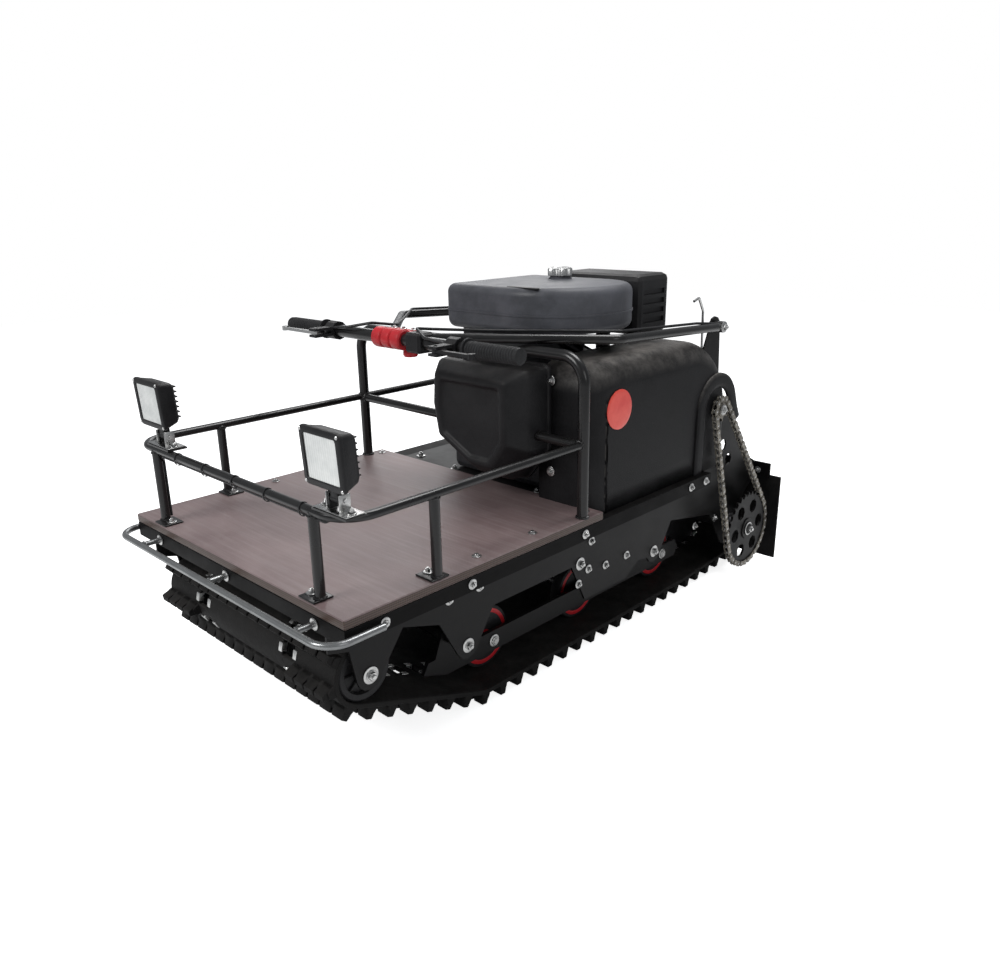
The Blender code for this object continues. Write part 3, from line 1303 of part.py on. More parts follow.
# Rear bar and mud flap
HINGE_Y = FLAP_Y - FLAP_T / 2
bar0 = FLAP_BAR_Y + GAP
rear_bar = box(-DECK_W / 2 + 0.010, DECK_W / 2 - 0.010, bar0, bar0 + BAR_REAR_T,
               BAR_REAR_Z - BAR_REAR_H / 2, BAR_REAR_Z + BAR_REAR_H / 2)
finish(rear_bar, "rear_bar", PAINT)
RIBS = 9
flap = box(-FLAP_W / 2, FLAP_W / 2, FLAP_Y - FLAP_T / 2, FLAP_Y + FLAP_T / 2, FLAP_LOW, FLAP_TOP)
rib_list = [box(-FLAP_W / 2 + FLAP_W * (k + 0.5) / RIBS - 0.008,
                -FLAP_W / 2 + FLAP_W * (k + 0.5) / RIBS + 0.008,
                FLAP_Y, FLAP_Y + FLAP_T / 2 + RIB_T, FLAP_LOW + 0.006, FLAP_TOP - 0.012)
            for k in range(RIBS)]
finish(boolean(flap, rib_list), "mud_flap", RUBBER, (0.0, HINGE_Y, FLAP_TOP))
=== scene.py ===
"""Looks of the tracked snow tow vehicle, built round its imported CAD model.

Places are written from the front edge of the deck, as a builder measures the
vehicle, and at() moves them into the model's own frame.
"""
import math

import bpy
import numpy as np
from mathutils import Matrix, Vector


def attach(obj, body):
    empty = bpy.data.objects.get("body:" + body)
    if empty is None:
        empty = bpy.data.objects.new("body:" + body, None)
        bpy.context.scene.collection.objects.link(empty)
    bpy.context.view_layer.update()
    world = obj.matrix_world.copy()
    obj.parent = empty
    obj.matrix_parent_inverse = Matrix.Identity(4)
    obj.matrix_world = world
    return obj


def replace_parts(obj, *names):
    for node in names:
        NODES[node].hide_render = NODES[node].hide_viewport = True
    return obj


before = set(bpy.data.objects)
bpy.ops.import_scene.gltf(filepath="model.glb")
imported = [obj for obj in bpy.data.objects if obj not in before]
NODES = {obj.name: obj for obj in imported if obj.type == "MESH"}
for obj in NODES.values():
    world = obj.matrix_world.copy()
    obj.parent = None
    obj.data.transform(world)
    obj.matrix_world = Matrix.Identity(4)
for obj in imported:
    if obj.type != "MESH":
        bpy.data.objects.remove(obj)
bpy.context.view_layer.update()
MID = 0.5905

# Sizes shared with the CAD source
RAIL_R, POST_R, HOOP_R, ARM_R, BAR_R, BUMPER_R, GRIP_R = (
    0.007, 0.008, 0.010, 0.0085, 0.011, 0.0055, 0.0138)
RAIL_X, RAIL_Y, RAIL_Z, POST_X, SIDE_POST = 0.302, 0.018, 0.435, 0.232, (0.300, 0.175)
HOOP_X, HOOP_Y, HOOP_TOP, CROSS_Z = 0.300, 0.513, 0.581, 0.432
BUMPER_X, BUMPER_Y, BUMPER_Z, STUBS = 0.318, -0.035, 0.2762, (-0.225, 0.0, 0.240)
DECK_TOP, PLATE_OUT, FRAME_OUT, CHAIN_X = 0.304, 0.260, 0.3093, 0.304
HOOD_LOW, HOOD_IN, HOOD_OUT, COVER_Y = 0.289, 0.172, 0.292, 0.5447
JACK, DRIVE, NOSE = (0.957811, 0.415783), (1.105, 0.114), (0.072808, 0.172)
ROAD_Z, ROAD_X, ROADS = 0.0878, 0.178, {"front": 0.378, "middle": 0.640, "rear": 0.905}
PITCH, PITCHES, BELT_HALF = 0.0424, 59, 0.004
CHAIN_PITCH, CHAIN_LINKS, CHAIN_TEETH = 0.015875, 64, (9, 33)
ARM_X, BAR_Y, BAR_Z = 0.2725, 0.355, 0.605
PIVOT, KINK = (0.990, 0.578), (0.290, 0.620, 0.598)
LAMPS, HINGE, LAMP_MID = {"left": -0.208, "right": 0.280}, (0.027, 0.462), 0.520
CAP, STARTER = (0.060, 0.735), (0.700, 0.418)
GAP = 0.0003
TURN = 2 * math.pi


def at(points):
    """The same points in the model's frame: MID is taken from each y."""
    return np.asarray(points, float) - np.array([0.0, MID, 0.0])


# Shells: points, quads and end faces


def grid(rows, cols, joined=True):
    """Corner numbers of the quads between neighbouring rows and columns.

    If joined, the last column is next to the first.
    """
    i = np.arange(rows - 1)[:, None] * cols
    j = np.arange(cols if joined else cols - 1)[None, :]
    k = (j + 1) % cols
    return np.stack([i + j, i + k, i + cols + k, i + cols + j], -1).reshape(-1, 4)


def shell(sheet, closed=False):
    """A body from a grid of points whose rows are rings.

    Its first and last rings are filled, or joined to each other if closed.
    """
    rows, cols = sheet.shape[:2]
    points = sheet.reshape(-1, 3)
    if closed:
        faces = grid(rows + 1, cols) % len(points)
        return points, faces, []
    ends = [np.arange(cols)[::-1], np.arange(cols) + (rows - 1) * cols]
    return points, grid(rows, cols), ends


def outward(body):
    """Turns a shell inside out if its signed volume is negative."""
    points, faces, ends = body
    tris = [faces[:, [0, 1, 2]], faces[:, [0, 2, 3]]]
    tris += [np.stack([np.full(len(e) - 2, e[0]), e[1:-1], e[2:]], -1) for e in ends]
    p = points[np.concatenate(tris)]
    volume = np.einsum("ij,ij->i", p[:, 0], np.cross(p[:, 1], p[:, 2])).sum()
    if volume < 0:
        return points, faces[:, ::-1], [e[::-1] for e in ends]
    return body


def unit(v):
    """Vectors over their lengths."""
    return v / np.maximum(np.linalg.norm(v, axis=-1, keepdims=True), 1e-12)


def swept(path, section, over=(0, 0, 1), closed=False, swell=1.0):
    """A section carried along a path.

    Each section point (a, b) lies at path + a * side + b * top, where side is
    across the path and the direction over, and top is square to both. swell
    scales the section, all along or at each point of the path.
    """
    path = np.asarray(path, float)
    if closed:
        run = unit(np.roll(path, -1, 0) - np.roll(path, 1, 0))
    else:
        run = unit(np.gradient(path, axis=0))
    side = unit(np.cross(run, np.asarray(over, float)))
    top = np.cross(side, run)
    section = np.asarray(section, float)
    size = swell * np.ones(len(path))
    a = section[None, :, 0, None] * side[:, None] * size[:, None, None]
    b = section[None, :, 1, None] * top[:, None] * size[:, None, None]
    return shell(path[:, None] + a + b, closed)


def ring(radius, sides):
    """Points evenly round a circle."""
    a = np.linspace(0, TURN, sides, endpoint=False)
    return np.stack([radius * np.cos(a), radius * np.sin(a)], -1)


def smooth_line(points, radius, steps):
    """A line through points whose corners are arcs of the given radius.

    Each corner becomes centre + radius * a direction that turns evenly from
    the first leg's foot to the last leg's foot.
    """
    p = np.asarray(points, float)
    out = [p[:1]]
    for before, corner, after in zip(p, p[1:], p[2:]):
        a, b = unit(before - corner), unit(after - corner)
        half = math.acos(np.clip(a @ b, -1, 1)) / 2
        centre = corner + unit(a + b) * radius / math.sin(half)
        first = unit(corner + a * radius / math.tan(half) - centre)
        last = unit(corner + b * radius / math.tan(half) - centre)
        t = np.linspace(0, 1, steps + 1)[:, None]
        sweep = math.acos(np.clip(first @ last, -1, 1))
        turn = (np.sin((1 - t) * sweep) * first + np.sin(t * sweep) * last)
        out.append(centre + radius * turn / math.sin(sweep))
    out.append(p[-1:])
    return np.concatenate(out)


def resampled(line, count):
    """Points evenly spaced by length along a line."""
    line = np.asarray(line, float)
    s = np.concatenate([[0], np.cumsum(np.linalg.norm(np.diff(line, axis=0), axis=1))])
    t = np.linspace(0, s[-1], count)
    return np.stack([np.interp(t, s, line[:, k]) for k in range(3)], -1)


def tube(points, corner, steps, radius, sides, over=(0, 0, 1), count=None):
    """A round bar or cable along a line with rounded corners.

    With a count, its rings are that many and evenly spaced.
    """
    line = smooth_line(points, corner, steps)
    return swept(resampled(line, count) if count else line, ring(radius, sides), over)


def turned(profile, sides, corners=None):
    """A profile of (radius, height) pairs turned about Z.

    corners makes rings of that many flats, as a nut has, where a third value
    of the profile is 1.
    """
    prof = np.asarray(profile, float)
    a = np.linspace(0, TURN, sides, endpoint=False)
    r = prof[:, 0, None] * np.ones(sides)
    if corners:
        step = TURN / corners
        flat = math.cos(step / 2) / np.cos((a % step) - step / 2)
        r = np.where(prof[:, 2, None] > 0, prof[:, 0, None] * flat, r)
    z = prof[:, 1, None] * np.ones(sides)
    return shell(np.stack([r * np.cos(a), r * np.sin(a), z], -1))


def block(x0, x1, y0, y1, z0, z1, edge, steps=3):
    """A block with rounded edges: a rounded rectangle carried up Z.

    Its section shrinks by edge * (1 - sin) while it rises by edge * (1 - cos).
    """
    t = np.linspace(0, math.pi / 2, steps + 1)
    rise = np.concatenate([edge * (1 - np.cos(t)), (z1 - z0) - edge * (1 - np.cos(t[::-1]))])
    inset = np.concatenate([edge * (1 - np.sin(t)), edge * (1 - np.sin(t[::-1]))])
    quarter = np.arange(4) * math.pi / 2
    a = np.concatenate([np.linspace(q, q + math.pi / 2, steps + 1) for q in quarter])
    middle = np.repeat(quarter + math.pi / 4, steps + 1)
    sx, sy = np.sign(np.cos(middle)), np.sign(np.sin(middle))
    hx, hy = (x1 - x0) / 2, (y1 - y0) / 2
    keep = np.maximum(edge - inset, 1e-5)[:, None]
    x = (x0 + x1) / 2 + sx * (hx - edge) + np.cos(a) * keep
    y = (y0 + y1) / 2 + sy * (hy - edge) + np.sin(a) * keep
    z = (z0 + rise)[:, None] * np.ones(len(a))
    return shell(np.stack([x, y, z], -1))


def moved(body, turn=np.eye(3), to=(0, 0, 0)):
    """A shell turned by a 3 by 3 matrix, then moved."""
    points, faces, ends = body
    return points @ turn.T + np.asarray(to, float), faces, ends


def facing(direction, spin=0.0):
    """The matrix that turns Z to a direction, after a spin about Z."""
    q = Vector(direction).to_track_quat("Z", "Y").to_matrix()
    return np.array(q @ Matrix.Rotation(spin, 3, "Z"))


def turned_each(body, places, turns):
    """One shell at many places, each with its own 3 by 3 matrix."""
    points, faces, ends = outward(body)
    places = np.asarray(places, float).reshape(-1, 3)
    many = np.einsum("nij,pj->npi", np.asarray(turns, float), points) + places[:, None]
    step = np.arange(len(places)) * len(points)
    quads = (step[:, None, None] + faces[None]).reshape(-1, 4)
    return many.reshape(-1, 3), quads, [e + s for s in step for e in ends]


def repeated(body, places, turn=np.eye(3)):
    """One shell at many places, all of them the same way round."""
    return turned_each(body, places, [turn] * len(places))


def about_x(angles):
    """Turns that carry X to each angle in the (y, z) plane, and Z to X."""
    c, s, o = np.cos(angles), np.sin(angles), np.zeros(len(angles))
    return np.stack([np.stack([o, o, o + 1], -1), np.stack([c, -s, o], -1),
                     np.stack([s, c, o], -1)], -2)


def spokes(body, count, x, y, z):
    """One shell repeated evenly round a line along X."""
    turns = about_x(np.arange(count) * TURN / count)
    return turned_each(body, np.tile([x, y, z], (count, 1)), turns)


def both_sides(half, x=0.0):
    """A profile of (radius, distance) pairs, before and behind x."""
    return [(r, x - d) for r, d in half] + [(r, x + d) for r, d in half[::-1] if d]


def placed(name, data):
    """An object of this mesh, lamp or camera, in the scene."""
    made = bpy.data.objects.new(name, data)
    bpy.context.scene.collection.objects.link(made)
    return made


def piece(name, bodies, finish, rides, sharp=35.0):
    """One object of several shells, in its finish, on a CAD body."""
    points, faces, start = [], [], 0
    for body in bodies:
        p, quads, ends = outward(body)
        points.append(p)
        faces += (quads + start).tolist() + [(e + start).tolist() for e in ends]
        start += len(p)
    mesh = bpy.data.meshes.new(name)
    mesh.from_pydata(at(np.concatenate(points)).tolist(), [], faces)
    mesh.shade_smooth()
    mesh.set_sharp_from_angle(angle=math.radians(sharp))
    mesh.materials.append(finish)
    made = placed(name, mesh)
    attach(made, rides)
    return made


def plated(name, bodies, rides="chassis"):
    """A piece of bare plated steel, such as a set of bolts."""
    return piece(name, bodies, ZINC, rides)


# Finishes


def effect(name, ins, outs):
    """An empty shader node group with named inputs and outputs."""
    group = bpy.data.node_groups.new(name, "ShaderNodeTree")
    for label, kind, value in ins:
        made = group.interface.new_socket(label, in_out="INPUT", socket_type=kind)
        if value is not None:
            made.default_value = value
    for label, kind in outs:
        group.interface.new_socket(label, in_out="OUTPUT", socket_type=kind)
    return group, group.nodes.new("NodeGroupInput"), group.nodes.new("NodeGroupOutput")


FLOAT, COLOUR, VECTOR = "NodeSocketFloat", "NodeSocketColor", "NodeSocketVector"


def node(tree, kind, links=(), **values):
    """A node with its settings, and its inputs linked or set by name."""
    made = tree.nodes.new(kind)
    for key, value in values.items():
        setattr(made, key, value)
    for key, value in links:
        if isinstance(value, bpy.types.NodeSocket):
            tree.links.new(value, made.inputs[key])
        else:
            made.inputs[key].default_value = value
    return made


def maths(tree, operation, *values):
    """The result of a sum on values or sockets."""
    return node(tree, "ShaderNodeMath", enumerate(values), operation=operation).outputs[0]


def ranged(tree, value, first, last, low=0.0, high=1.0):
    """A value between first and last, carried over to between low and high."""
    return node(tree, "ShaderNodeMapRange", [
        ("Value", value), ("From Min", first), ("From Max", last), ("To Min", low),
        ("To Max", high)]).outputs[0]


def blended(tree, share, first, second):
    """The colour at a share of the way from first to second."""
    return node(tree, "ShaderNodeMix", [(0, share), (6, first), (7, second)],
                data_type="RGBA").outputs[2]


def noise(tree, where, scale, detail, rough=0.5):
    """A noise value."""
    return node(tree, "ShaderNodeTexNoise", [
        ("Vector", where), ("Scale", scale), ("Detail", detail),
        ("Roughness", rough)]).outputs["Fac"]


def face_normal(tree):
    """The X, Y and Z of the surface's direction."""
    shape = node(tree, "ShaderNodeNewGeometry")
    return node(tree, "ShaderNodeSeparateXYZ", [("Vector", shape.outputs["Normal"])]).outputs


def mottle_group():
    """Colour that drifts between two tones in clouds."""
    tree, get, put = effect("mottle", [
        ("Point", VECTOR, None), ("Tone", COLOUR, (1, 1, 1, 1)), ("Other", COLOUR, (0, 0, 0, 1)),
        ("Scale", FLOAT, 8.0), ("Amount", FLOAT, 0.5)], [("Colour", COLOUR), ("Mask", FLOAT)])
    point, tone, other, scale, amount = get.outputs[:5]
    cloud = ranged(tree, noise(tree, point, scale, 6.0, 0.62), 0.36, 0.68)
    share = maths(tree, "MULTIPLY", cloud, amount)
    tree.links.new(blended(tree, share, tone, other), put.inputs["Colour"])
    tree.links.new(share, put.inputs["Mask"])
    return tree


def grain_group():
    """A moulded or sprayed skin: noise at one scale over pebbles at another."""
    tree, get, put = effect("grain", [
        ("Point", VECTOR, None), ("Fine", FLOAT, 900.0), ("Pebble", FLOAT, 350.0),
        ("Share", FLOAT, 0.5), ("Depth", FLOAT, 0.2)], [("Normal", VECTOR), ("Height", FLOAT)])
    point, fine, scale, share, depth = get.outputs[:5]
    pebble = node(tree, "ShaderNodeTexVoronoi", [("Vector", point), ("Scale", scale)])
    both = node(tree, "ShaderNodeMix", [(0, share), (2, noise(tree, point, fine, 2.0)),
                (3, pebble.outputs["Distance"])])
    bump = node(tree, "ShaderNodeBump", [("Strength", depth), ("Distance", 0.0006),
                ("Height", both.outputs[0])])
    tree.links.new(bump.outputs["Normal"], put.inputs["Normal"])
    tree.links.new(both.outputs[0], put.inputs["Height"])
    return tree


def dust_and_sheen_group():
    """Lightens faces that look up, broken by noise: pale settled dust, and painted sheen of light
    from above where the amount is large.
    """
    tree, get, put = effect("dust_and_sheen", [
        ("Point", VECTOR, None), ("Colour", COLOUR, (0, 0, 0, 1)),
        ("Dust_and_sheen", COLOUR, (0.3, 0.28, 0.26, 1)), ("Amount", FLOAT, 0.3)],
        [("Colour", COLOUR), ("Mask", FLOAT)])
    point, colour, dust_and_sheen, amount = get.outputs[:4]
    level = ranged(tree, face_normal(tree)["Z"], 0.1, 1.0)
    patch = ranged(tree, noise(tree, point, 34.0, 8.0, 0.7), 0.28, 0.82)
    share = maths(tree, "MULTIPLY", maths(tree, "MULTIPLY", level, patch), amount)
    tree.links.new(blended(tree, share, colour, dust_and_sheen), put.inputs["Colour"])
    tree.links.new(share, put.inputs["Mask"])
    return tree


MOTTLE, GRAIN, DUST_AND_SHEEN = mottle_group(), grain_group(), dust_and_sheen_group()


def blank(name):
    """A new material, its tree, its shader and the Object coordinates."""
    mat = bpy.data.materials.new(name)
    mat.use_nodes = True
    tree = mat.node_tree
    where = node(tree, "ShaderNodeTexCoord").outputs["Object"]
    return mat, tree, tree.nodes["Principled BSDF"], where


def drift(tree, where, tone, other, scale, amount):
    """Colour in clouds of two tones, and the mask of the clouds."""
    return node(tree, "ShaderNodeGroup", [
        ("Point", where), ("Tone", (*tone, 1)), ("Other", (*other, 1)), ("Scale", scale),
        ("Amount", amount)], node_tree=MOTTLE).outputs


def finish(name, tone, other, cloud, rough, grain, dust_and_sheen=0.0, metal=0.0, level=0.4, coat=0.0,
           coat_rough=0.1):
    """A material of the shared effects.

    Its colour drifts from tone to other in clouds of a scale and an amount,
    its roughness is the least and the spread, and its grain is the fine scale,
    the pebbles' scale, their share and the depth.
    """
    mat, tree, shader, where = blank(name)
    colour, mask = drift(tree, where, tone, other, *cloud)[:2]
    skin = node(tree, "ShaderNodeGroup", [("Point", where), *zip(
        ("Fine", "Pebble", "Share", "Depth"), grain)], node_tree=GRAIN)
    # Faces that look up are lightened: pale dust, and painted sheen where the amount is large.
    if dust_and_sheen:
        colour = node(tree, "ShaderNodeGroup", [("Point", where), ("Colour", colour),
                      ("Amount", dust_and_sheen)], node_tree=DUST_AND_SHEEN).outputs["Colour"]
    tree.links.new(colour, shader.inputs["Base Color"])
    gloss = ranged(tree, mask, 0.0, 1.0, rough[0], sum(rough))
    tree.links.new(gloss, shader.inputs["Roughness"])
    tree.links.new(skin.outputs["Normal"], shader.inputs["Normal"])
    for key, value in (("Metallic", metal), ("Specular IOR Level", level),
                       ("Coat Weight", coat), ("Coat Roughness", coat_rough)):
        shader.inputs[key].default_value = value
    return mat


PAINT = finish("gloss_black_paint", (0.0035, 0.0033, 0.0035), (0.010, 0.0095, 0.010), (14, 0.8),
               (0.24, 0.14), (420, 160, 0.7, 0.10), dust_and_sheen=0.02, level=0.38, coat=0.25,
               coat_rough=0.12)
PLATE_PAINT = finish("satin_black_plate", (0.0035, 0.0032, 0.0034), (0.011, 0.0105, 0.011),
                     (10, 0.8), (0.34, 0.2), (600, 240, 0.5, 0.14), dust_and_sheen=0.03, level=0.20)
FRAME_PAINT = finish("satin_black_frame", (0.0020, 0.0018, 0.0019), (0.0060, 0.0056, 0.0058),
                     (12, 0.8), (0.46, 0.2), (500, 200, 0.5, 0.12), dust_and_sheen=0.02, level=0.10)
ZINC = finish("zinc_plated_steel", (0.62, 0.62, 0.61), (0.42, 0.42, 0.42), (90, 0.7),
              (0.22, 0.2), (1500, 500, 0.3, 0.10), metal=1.0)
CHAIN_STEEL = finish("oiled_chain_steel", (0.26, 0.24, 0.205), (0.085, 0.078, 0.068),
                     (60, 0.8), (0.26, 0.2), (1400, 500, 0.3, 0.12), metal=0.95)
GREY_TUBE = finish("grey_metallic_tube", (0.30, 0.31, 0.31), (0.17, 0.17, 0.18), (26, 0.7),
                   (0.25, 0.15), (700, 300, 0.4, 0.10), dust_and_sheen=0.1, metal=0.75)
RUBBER = finish("track_rubber", (0.005, 0.0048, 0.0048), (0.017, 0.016, 0.0155), (22, 0.8),
                (0.58, 0.25), (500, 180, 0.6, 0.55), dust_and_sheen=0.10, level=0.16)
GRIP_RUBBER = finish("soft_grip_rubber", (0.012, 0.012, 0.013), (0.028, 0.028, 0.030),
                     (40, 0.6), (0.55, 0.2), (900, 420, 0.6, 0.4), level=0.3)
MOULDING = finish("textured_black_moulding", (0.009, 0.009, 0.010), (0.024, 0.0235, 0.025),
                  (9, 0.8), (0.40, 0.16), (900, 520, 0.75, 0.40), dust_and_sheen=0.12, level=0.24)
# The hood's large up-facing lightening is painted sheen of the overhead light on its rounded
# shoulders, more than dust.
HOOD_SKIN = finish("hood_moulding", (0.007, 0.007, 0.0075), (0.020, 0.0195, 0.021), (8, 0.8),
                   (0.40, 0.16), (900, 420, 0.8, 0.40), dust_and_sheen=0.90, level=0.15)
TANK_SKIN = finish("tank_moulding", (0.056, 0.058, 0.066), (0.110, 0.113, 0.130), (12, 0.9),
                   (0.38, 0.2), (700, 300, 0.6, 0.40), dust_and_sheen=0.10, level=0.30)
RED_SKIN = finish("red_moulding", (0.56, 0.014, 0.022), (0.30, 0.008, 0.014), (20, 0.6),
                  (0.36, 0.18), (900, 400, 0.5, 0.14), dust_and_sheen=0.04, level=0.45)
DISC_RED = finish("orange_red_disc", (0.90, 0.100, 0.070), (0.74, 0.036, 0.028), (26, 0.8),
                  (0.30, 0.1), (1200, 600, 0.3, 0.05), level=0.45, coat=0.4)
CAST = finish("cast_alloy", (0.075, 0.075, 0.080), (0.035, 0.035, 0.038), (26, 0.7),
              (0.42, 0.2), (700, 260, 0.6, 0.45), dust_and_sheen=0.08, metal=0.6)
CLIP_STEEL = finish("bright_clip_steel", (0.72, 0.72, 0.71), (0.50, 0.50, 0.49), (70, 0.6),
                    (0.24, 0.2), (1500, 500, 0.3, 0.10), metal=0.9)
CABLE_SKIN = finish("cable_sheath", (0.010, 0.010, 0.011), (0.020, 0.020, 0.022), (60, 0.6),
                    (0.38, 0.15), (1500, 700, 0.3, 0.08), level=0.4)


def board_finish():
    """Film-faced plywood: mauve film with a pressed mesh, bare layers at its edges."""
    mat, tree, shader, where = blank("film_faced_plywood")
    film, mask = drift(tree, where, (0.155, 0.108, 0.108), (0.270, 0.205, 0.203), 5.0, 0.8)[:2]
    streak = node(tree, "ShaderNodeMapping", [("Vector", where), ("Scale", (2.0, 40.0, 1.0))])
    faded = ranged(tree, noise(tree, streak.outputs[0], 4.0, 5.0), 0.45, 0.8, 0.0, 0.35)
    worn = blended(tree, faded, film, (0.33, 0.285, 0.275, 1))
    level = node(tree, "ShaderNodeSeparateXYZ", [("Vector", where)]).outputs

    def wave(axis, pitch):
        """A sine of one coordinate with the given pitch."""
        return maths(tree, "SINE", maths(tree, "MULTIPLY", level[axis], TURN / pitch))

    layer = ranged(tree, wave("Z", 0.0034), -0.4, 0.4)
    edge = blended(tree, layer, (0.035, 0.018, 0.013, 1), (0.085, 0.050, 0.036, 1))
    flat = maths(tree, "ABSOLUTE", face_normal(tree)["Z"])
    whole = blended(tree, maths(tree, "GREATER_THAN", flat, 0.6), edge, worn)
    tree.links.new(whole, shader.inputs["Base Color"])
    mesh = maths(tree, "MULTIPLY", wave("X", 0.0032), wave("Y", 0.0032))
    bump = node(tree, "ShaderNodeBump", [("Strength", 0.25), ("Distance", 0.0004),
                ("Height", mesh)])
    tree.links.new(bump.outputs["Normal"], shader.inputs["Normal"])
    tree.links.new(ranged(tree, mask, 0.0, 1.0, 0.30, 0.48), shader.inputs["Roughness"])
    shader.inputs["Specular IOR Level"].default_value = 0.5
    return mat


def lens_finish():
    """Pale lamp face: clear moulded cover over a silvered dish."""
    mat, tree, shader, where = blank("lamp_face")
    tone = drift(tree, where, (0.60, 0.62, 0.61), (0.84, 0.85, 0.83), 30.0, 0.8)["Colour"]
    tree.links.new(tone, shader.inputs["Base Color"])
    for key, value in (("Roughness", 0.14), ("Metallic", 0.35), ("Coat Weight", 0.6)):
        shader.inputs[key].default_value = value
    return mat


BOARD, LENS = board_finish(), lens_finish()

CARRIED = (
    (PAINT, "guard_rail hoop lamp_fork_left lamp_fork_right handle_arms handlebar"),
    (FRAME_PAINT, "main_frame"),
    (PLATE_PAINT, "side_plate_left side_plate_right skid_frame engine_base rear_bar "
                  "chain_sprocket_lower"),
    (CHAIN_STEEL, "roller_chain chain_sprocket_upper"),
    (ZINC, "jackshaft fuel_cap brake_lever latch_hook"),
    (GREY_TUBE, "bumper"),
    (BOARD, "deck_board"),
    (RUBBER, "track_belt mud_flap"),
    (GRIP_RUBBER, "grip_left grip_right"),
    (MOULDING, "front_idler drive_axle front_guard recoil_starter starter_grip muffler_shield "
               "lamp_housing_left lamp_housing_right brake_perch throttle_perch "
               "throttle_lever switch_block"),
    (HOOD_SKIN, "drive_hood"),
    (TANK_SKIN, "fuel_tank"),
    (RED_SKIN, "road_wheels_front road_wheels_middle road_wheels_rear handle_clamp"),
    (DISC_RED, "hood_disc"),
    (CAST, "engine_block drive_bearing_left drive_bearing_right jack_bearing_right"),
    (LENS, "lamp_glass_left lamp_glass_right"),
)
for skin, labels in CARRIED:
    for label in labels.split():
        NODES[label].data.materials.clear()
        NODES[label].data.materials.append(skin)

# Pieces


def rod(length, radius, sides):
    """A round bar up Z with slightly eased ends."""
    e = min(0.0006, radius / 4)
    return turned([(radius - e, 0), (radius, e), (radius, length - e), (radius - e, length)],
                  sides)


def post(x, y, z0, z1, radius, sides=24):
    """An upright round bar."""
    return moved(rod(z1 - z0, radius, sides), to=(x, y, z0))


def across(x0, x1, y, z, radius, sides=24):
    """A round bar along X."""
    return moved(rod(x1 - x0, radius, sides), facing((1, 0, 0)), (x0, y, z))


def weld(centre, direction, radius, size=0.0022):
    """A weld bead: a ring whose section swells and shrinks in even ripples."""
    sides, ripples, depth = 72, 26, 0.12
    swell = 1 + depth * np.sin(ripples * np.linspace(0, TURN, sides, endpoint=False))
    loop = np.insert(ring(radius, sides), 2, 0.0, axis=1)
    bead = swept(loop, ring(size, 8), closed=True, swell=swell)
    return moved(bead, facing(direction), centre)


def hexagon(size, height, domed):
    """A hexagon head on its washer, its top turned round, height up Z."""
    washer, edge = 0.0016, 0.0003
    top, half = height + washer, size * 0.58
    prof = [(size * 1.02, 0, 0), (size * 1.08, edge, 0), (size * 1.08, washer - edge, 0),
            (size * 1.02, washer, 0), (half, washer, 0), (half, washer, 1),
            (half, top - size * 0.09, 1), (size * 0.48, top, 0)]
    if domed:
        prof += [(size * 0.30, top, 0), (size * 0.29, top + size * 0.20, 0),
                 (size * 0.24, top + size * 0.26, 0)]
    return turned(prof, 36, corners=6)


def bolts(places, direction, size, height=0.005, domed=True):
    """Bolt heads or nuts, each turned a little further than the one before."""
    places = np.asarray(places, float).reshape(-1, 3)
    turns = [facing(direction, 0.7 * k) for k in range(len(places))]
    return turned_each(hexagon(size, height, domed), places, turns)


def end_nuts(x, reach, y, z, size, height=0.005, domed=True):
    """Two nuts on the ends of a shaft along X, at a reach from its middle."""
    return [bolts([(x + s * reach, y, z)], (s, 0, 0), size, height, domed) for s in (-1, 1)]


def slab(outline, z0, z1, edge, steps):
    """A plate of an outline with rounded rims, standing up Z.

    Each ring is the outline moved inward along its corner normals by
    edge * (1 - sin), at a height of edge * (1 - cos) from its face.
    """
    p = np.asarray(outline, float)
    run = unit(np.roll(p, -1, 0) - np.roll(p, 1, 0))
    area = (p[:, 0] * np.roll(p[:, 1], -1) - np.roll(p[:, 0], -1) * p[:, 1]).sum()
    inward = np.stack([-run[:, 1], run[:, 0]], -1) * (1 if area > 0 else -1)
    t = np.linspace(0, math.pi / 2, steps + 1)
    inset = edge * (1 - np.sin(np.concatenate([t, t[::-1]])))
    lift = edge * (1 - np.cos(t))
    high = np.concatenate([z0 + lift, z1 - lift[::-1]])
    rings = p[None] + inward[None] * inset[:, None, None]
    z = np.broadcast_to(high[:, None, None], (len(high), len(p), 1))
    return shell(np.concatenate([rings, z], -1))


def bend(cx, cy, radius, a0, a1, steps):
    """Points along an arc, angles in degrees."""
    a = np.radians(np.linspace(a0, a1, steps + 1))
    return np.stack([cx + radius * np.cos(a), cy + radius * np.sin(a)], -1)


def lathe_x(profile, sides, y, z):
    """A profile of (radius, x) pairs turned about a line along X."""
    swap = np.array([[0, 0, 1], [1, 0, 0], [0, 1, 0]])
    return moved(turned(profile, sides), swap, (0, y, z))


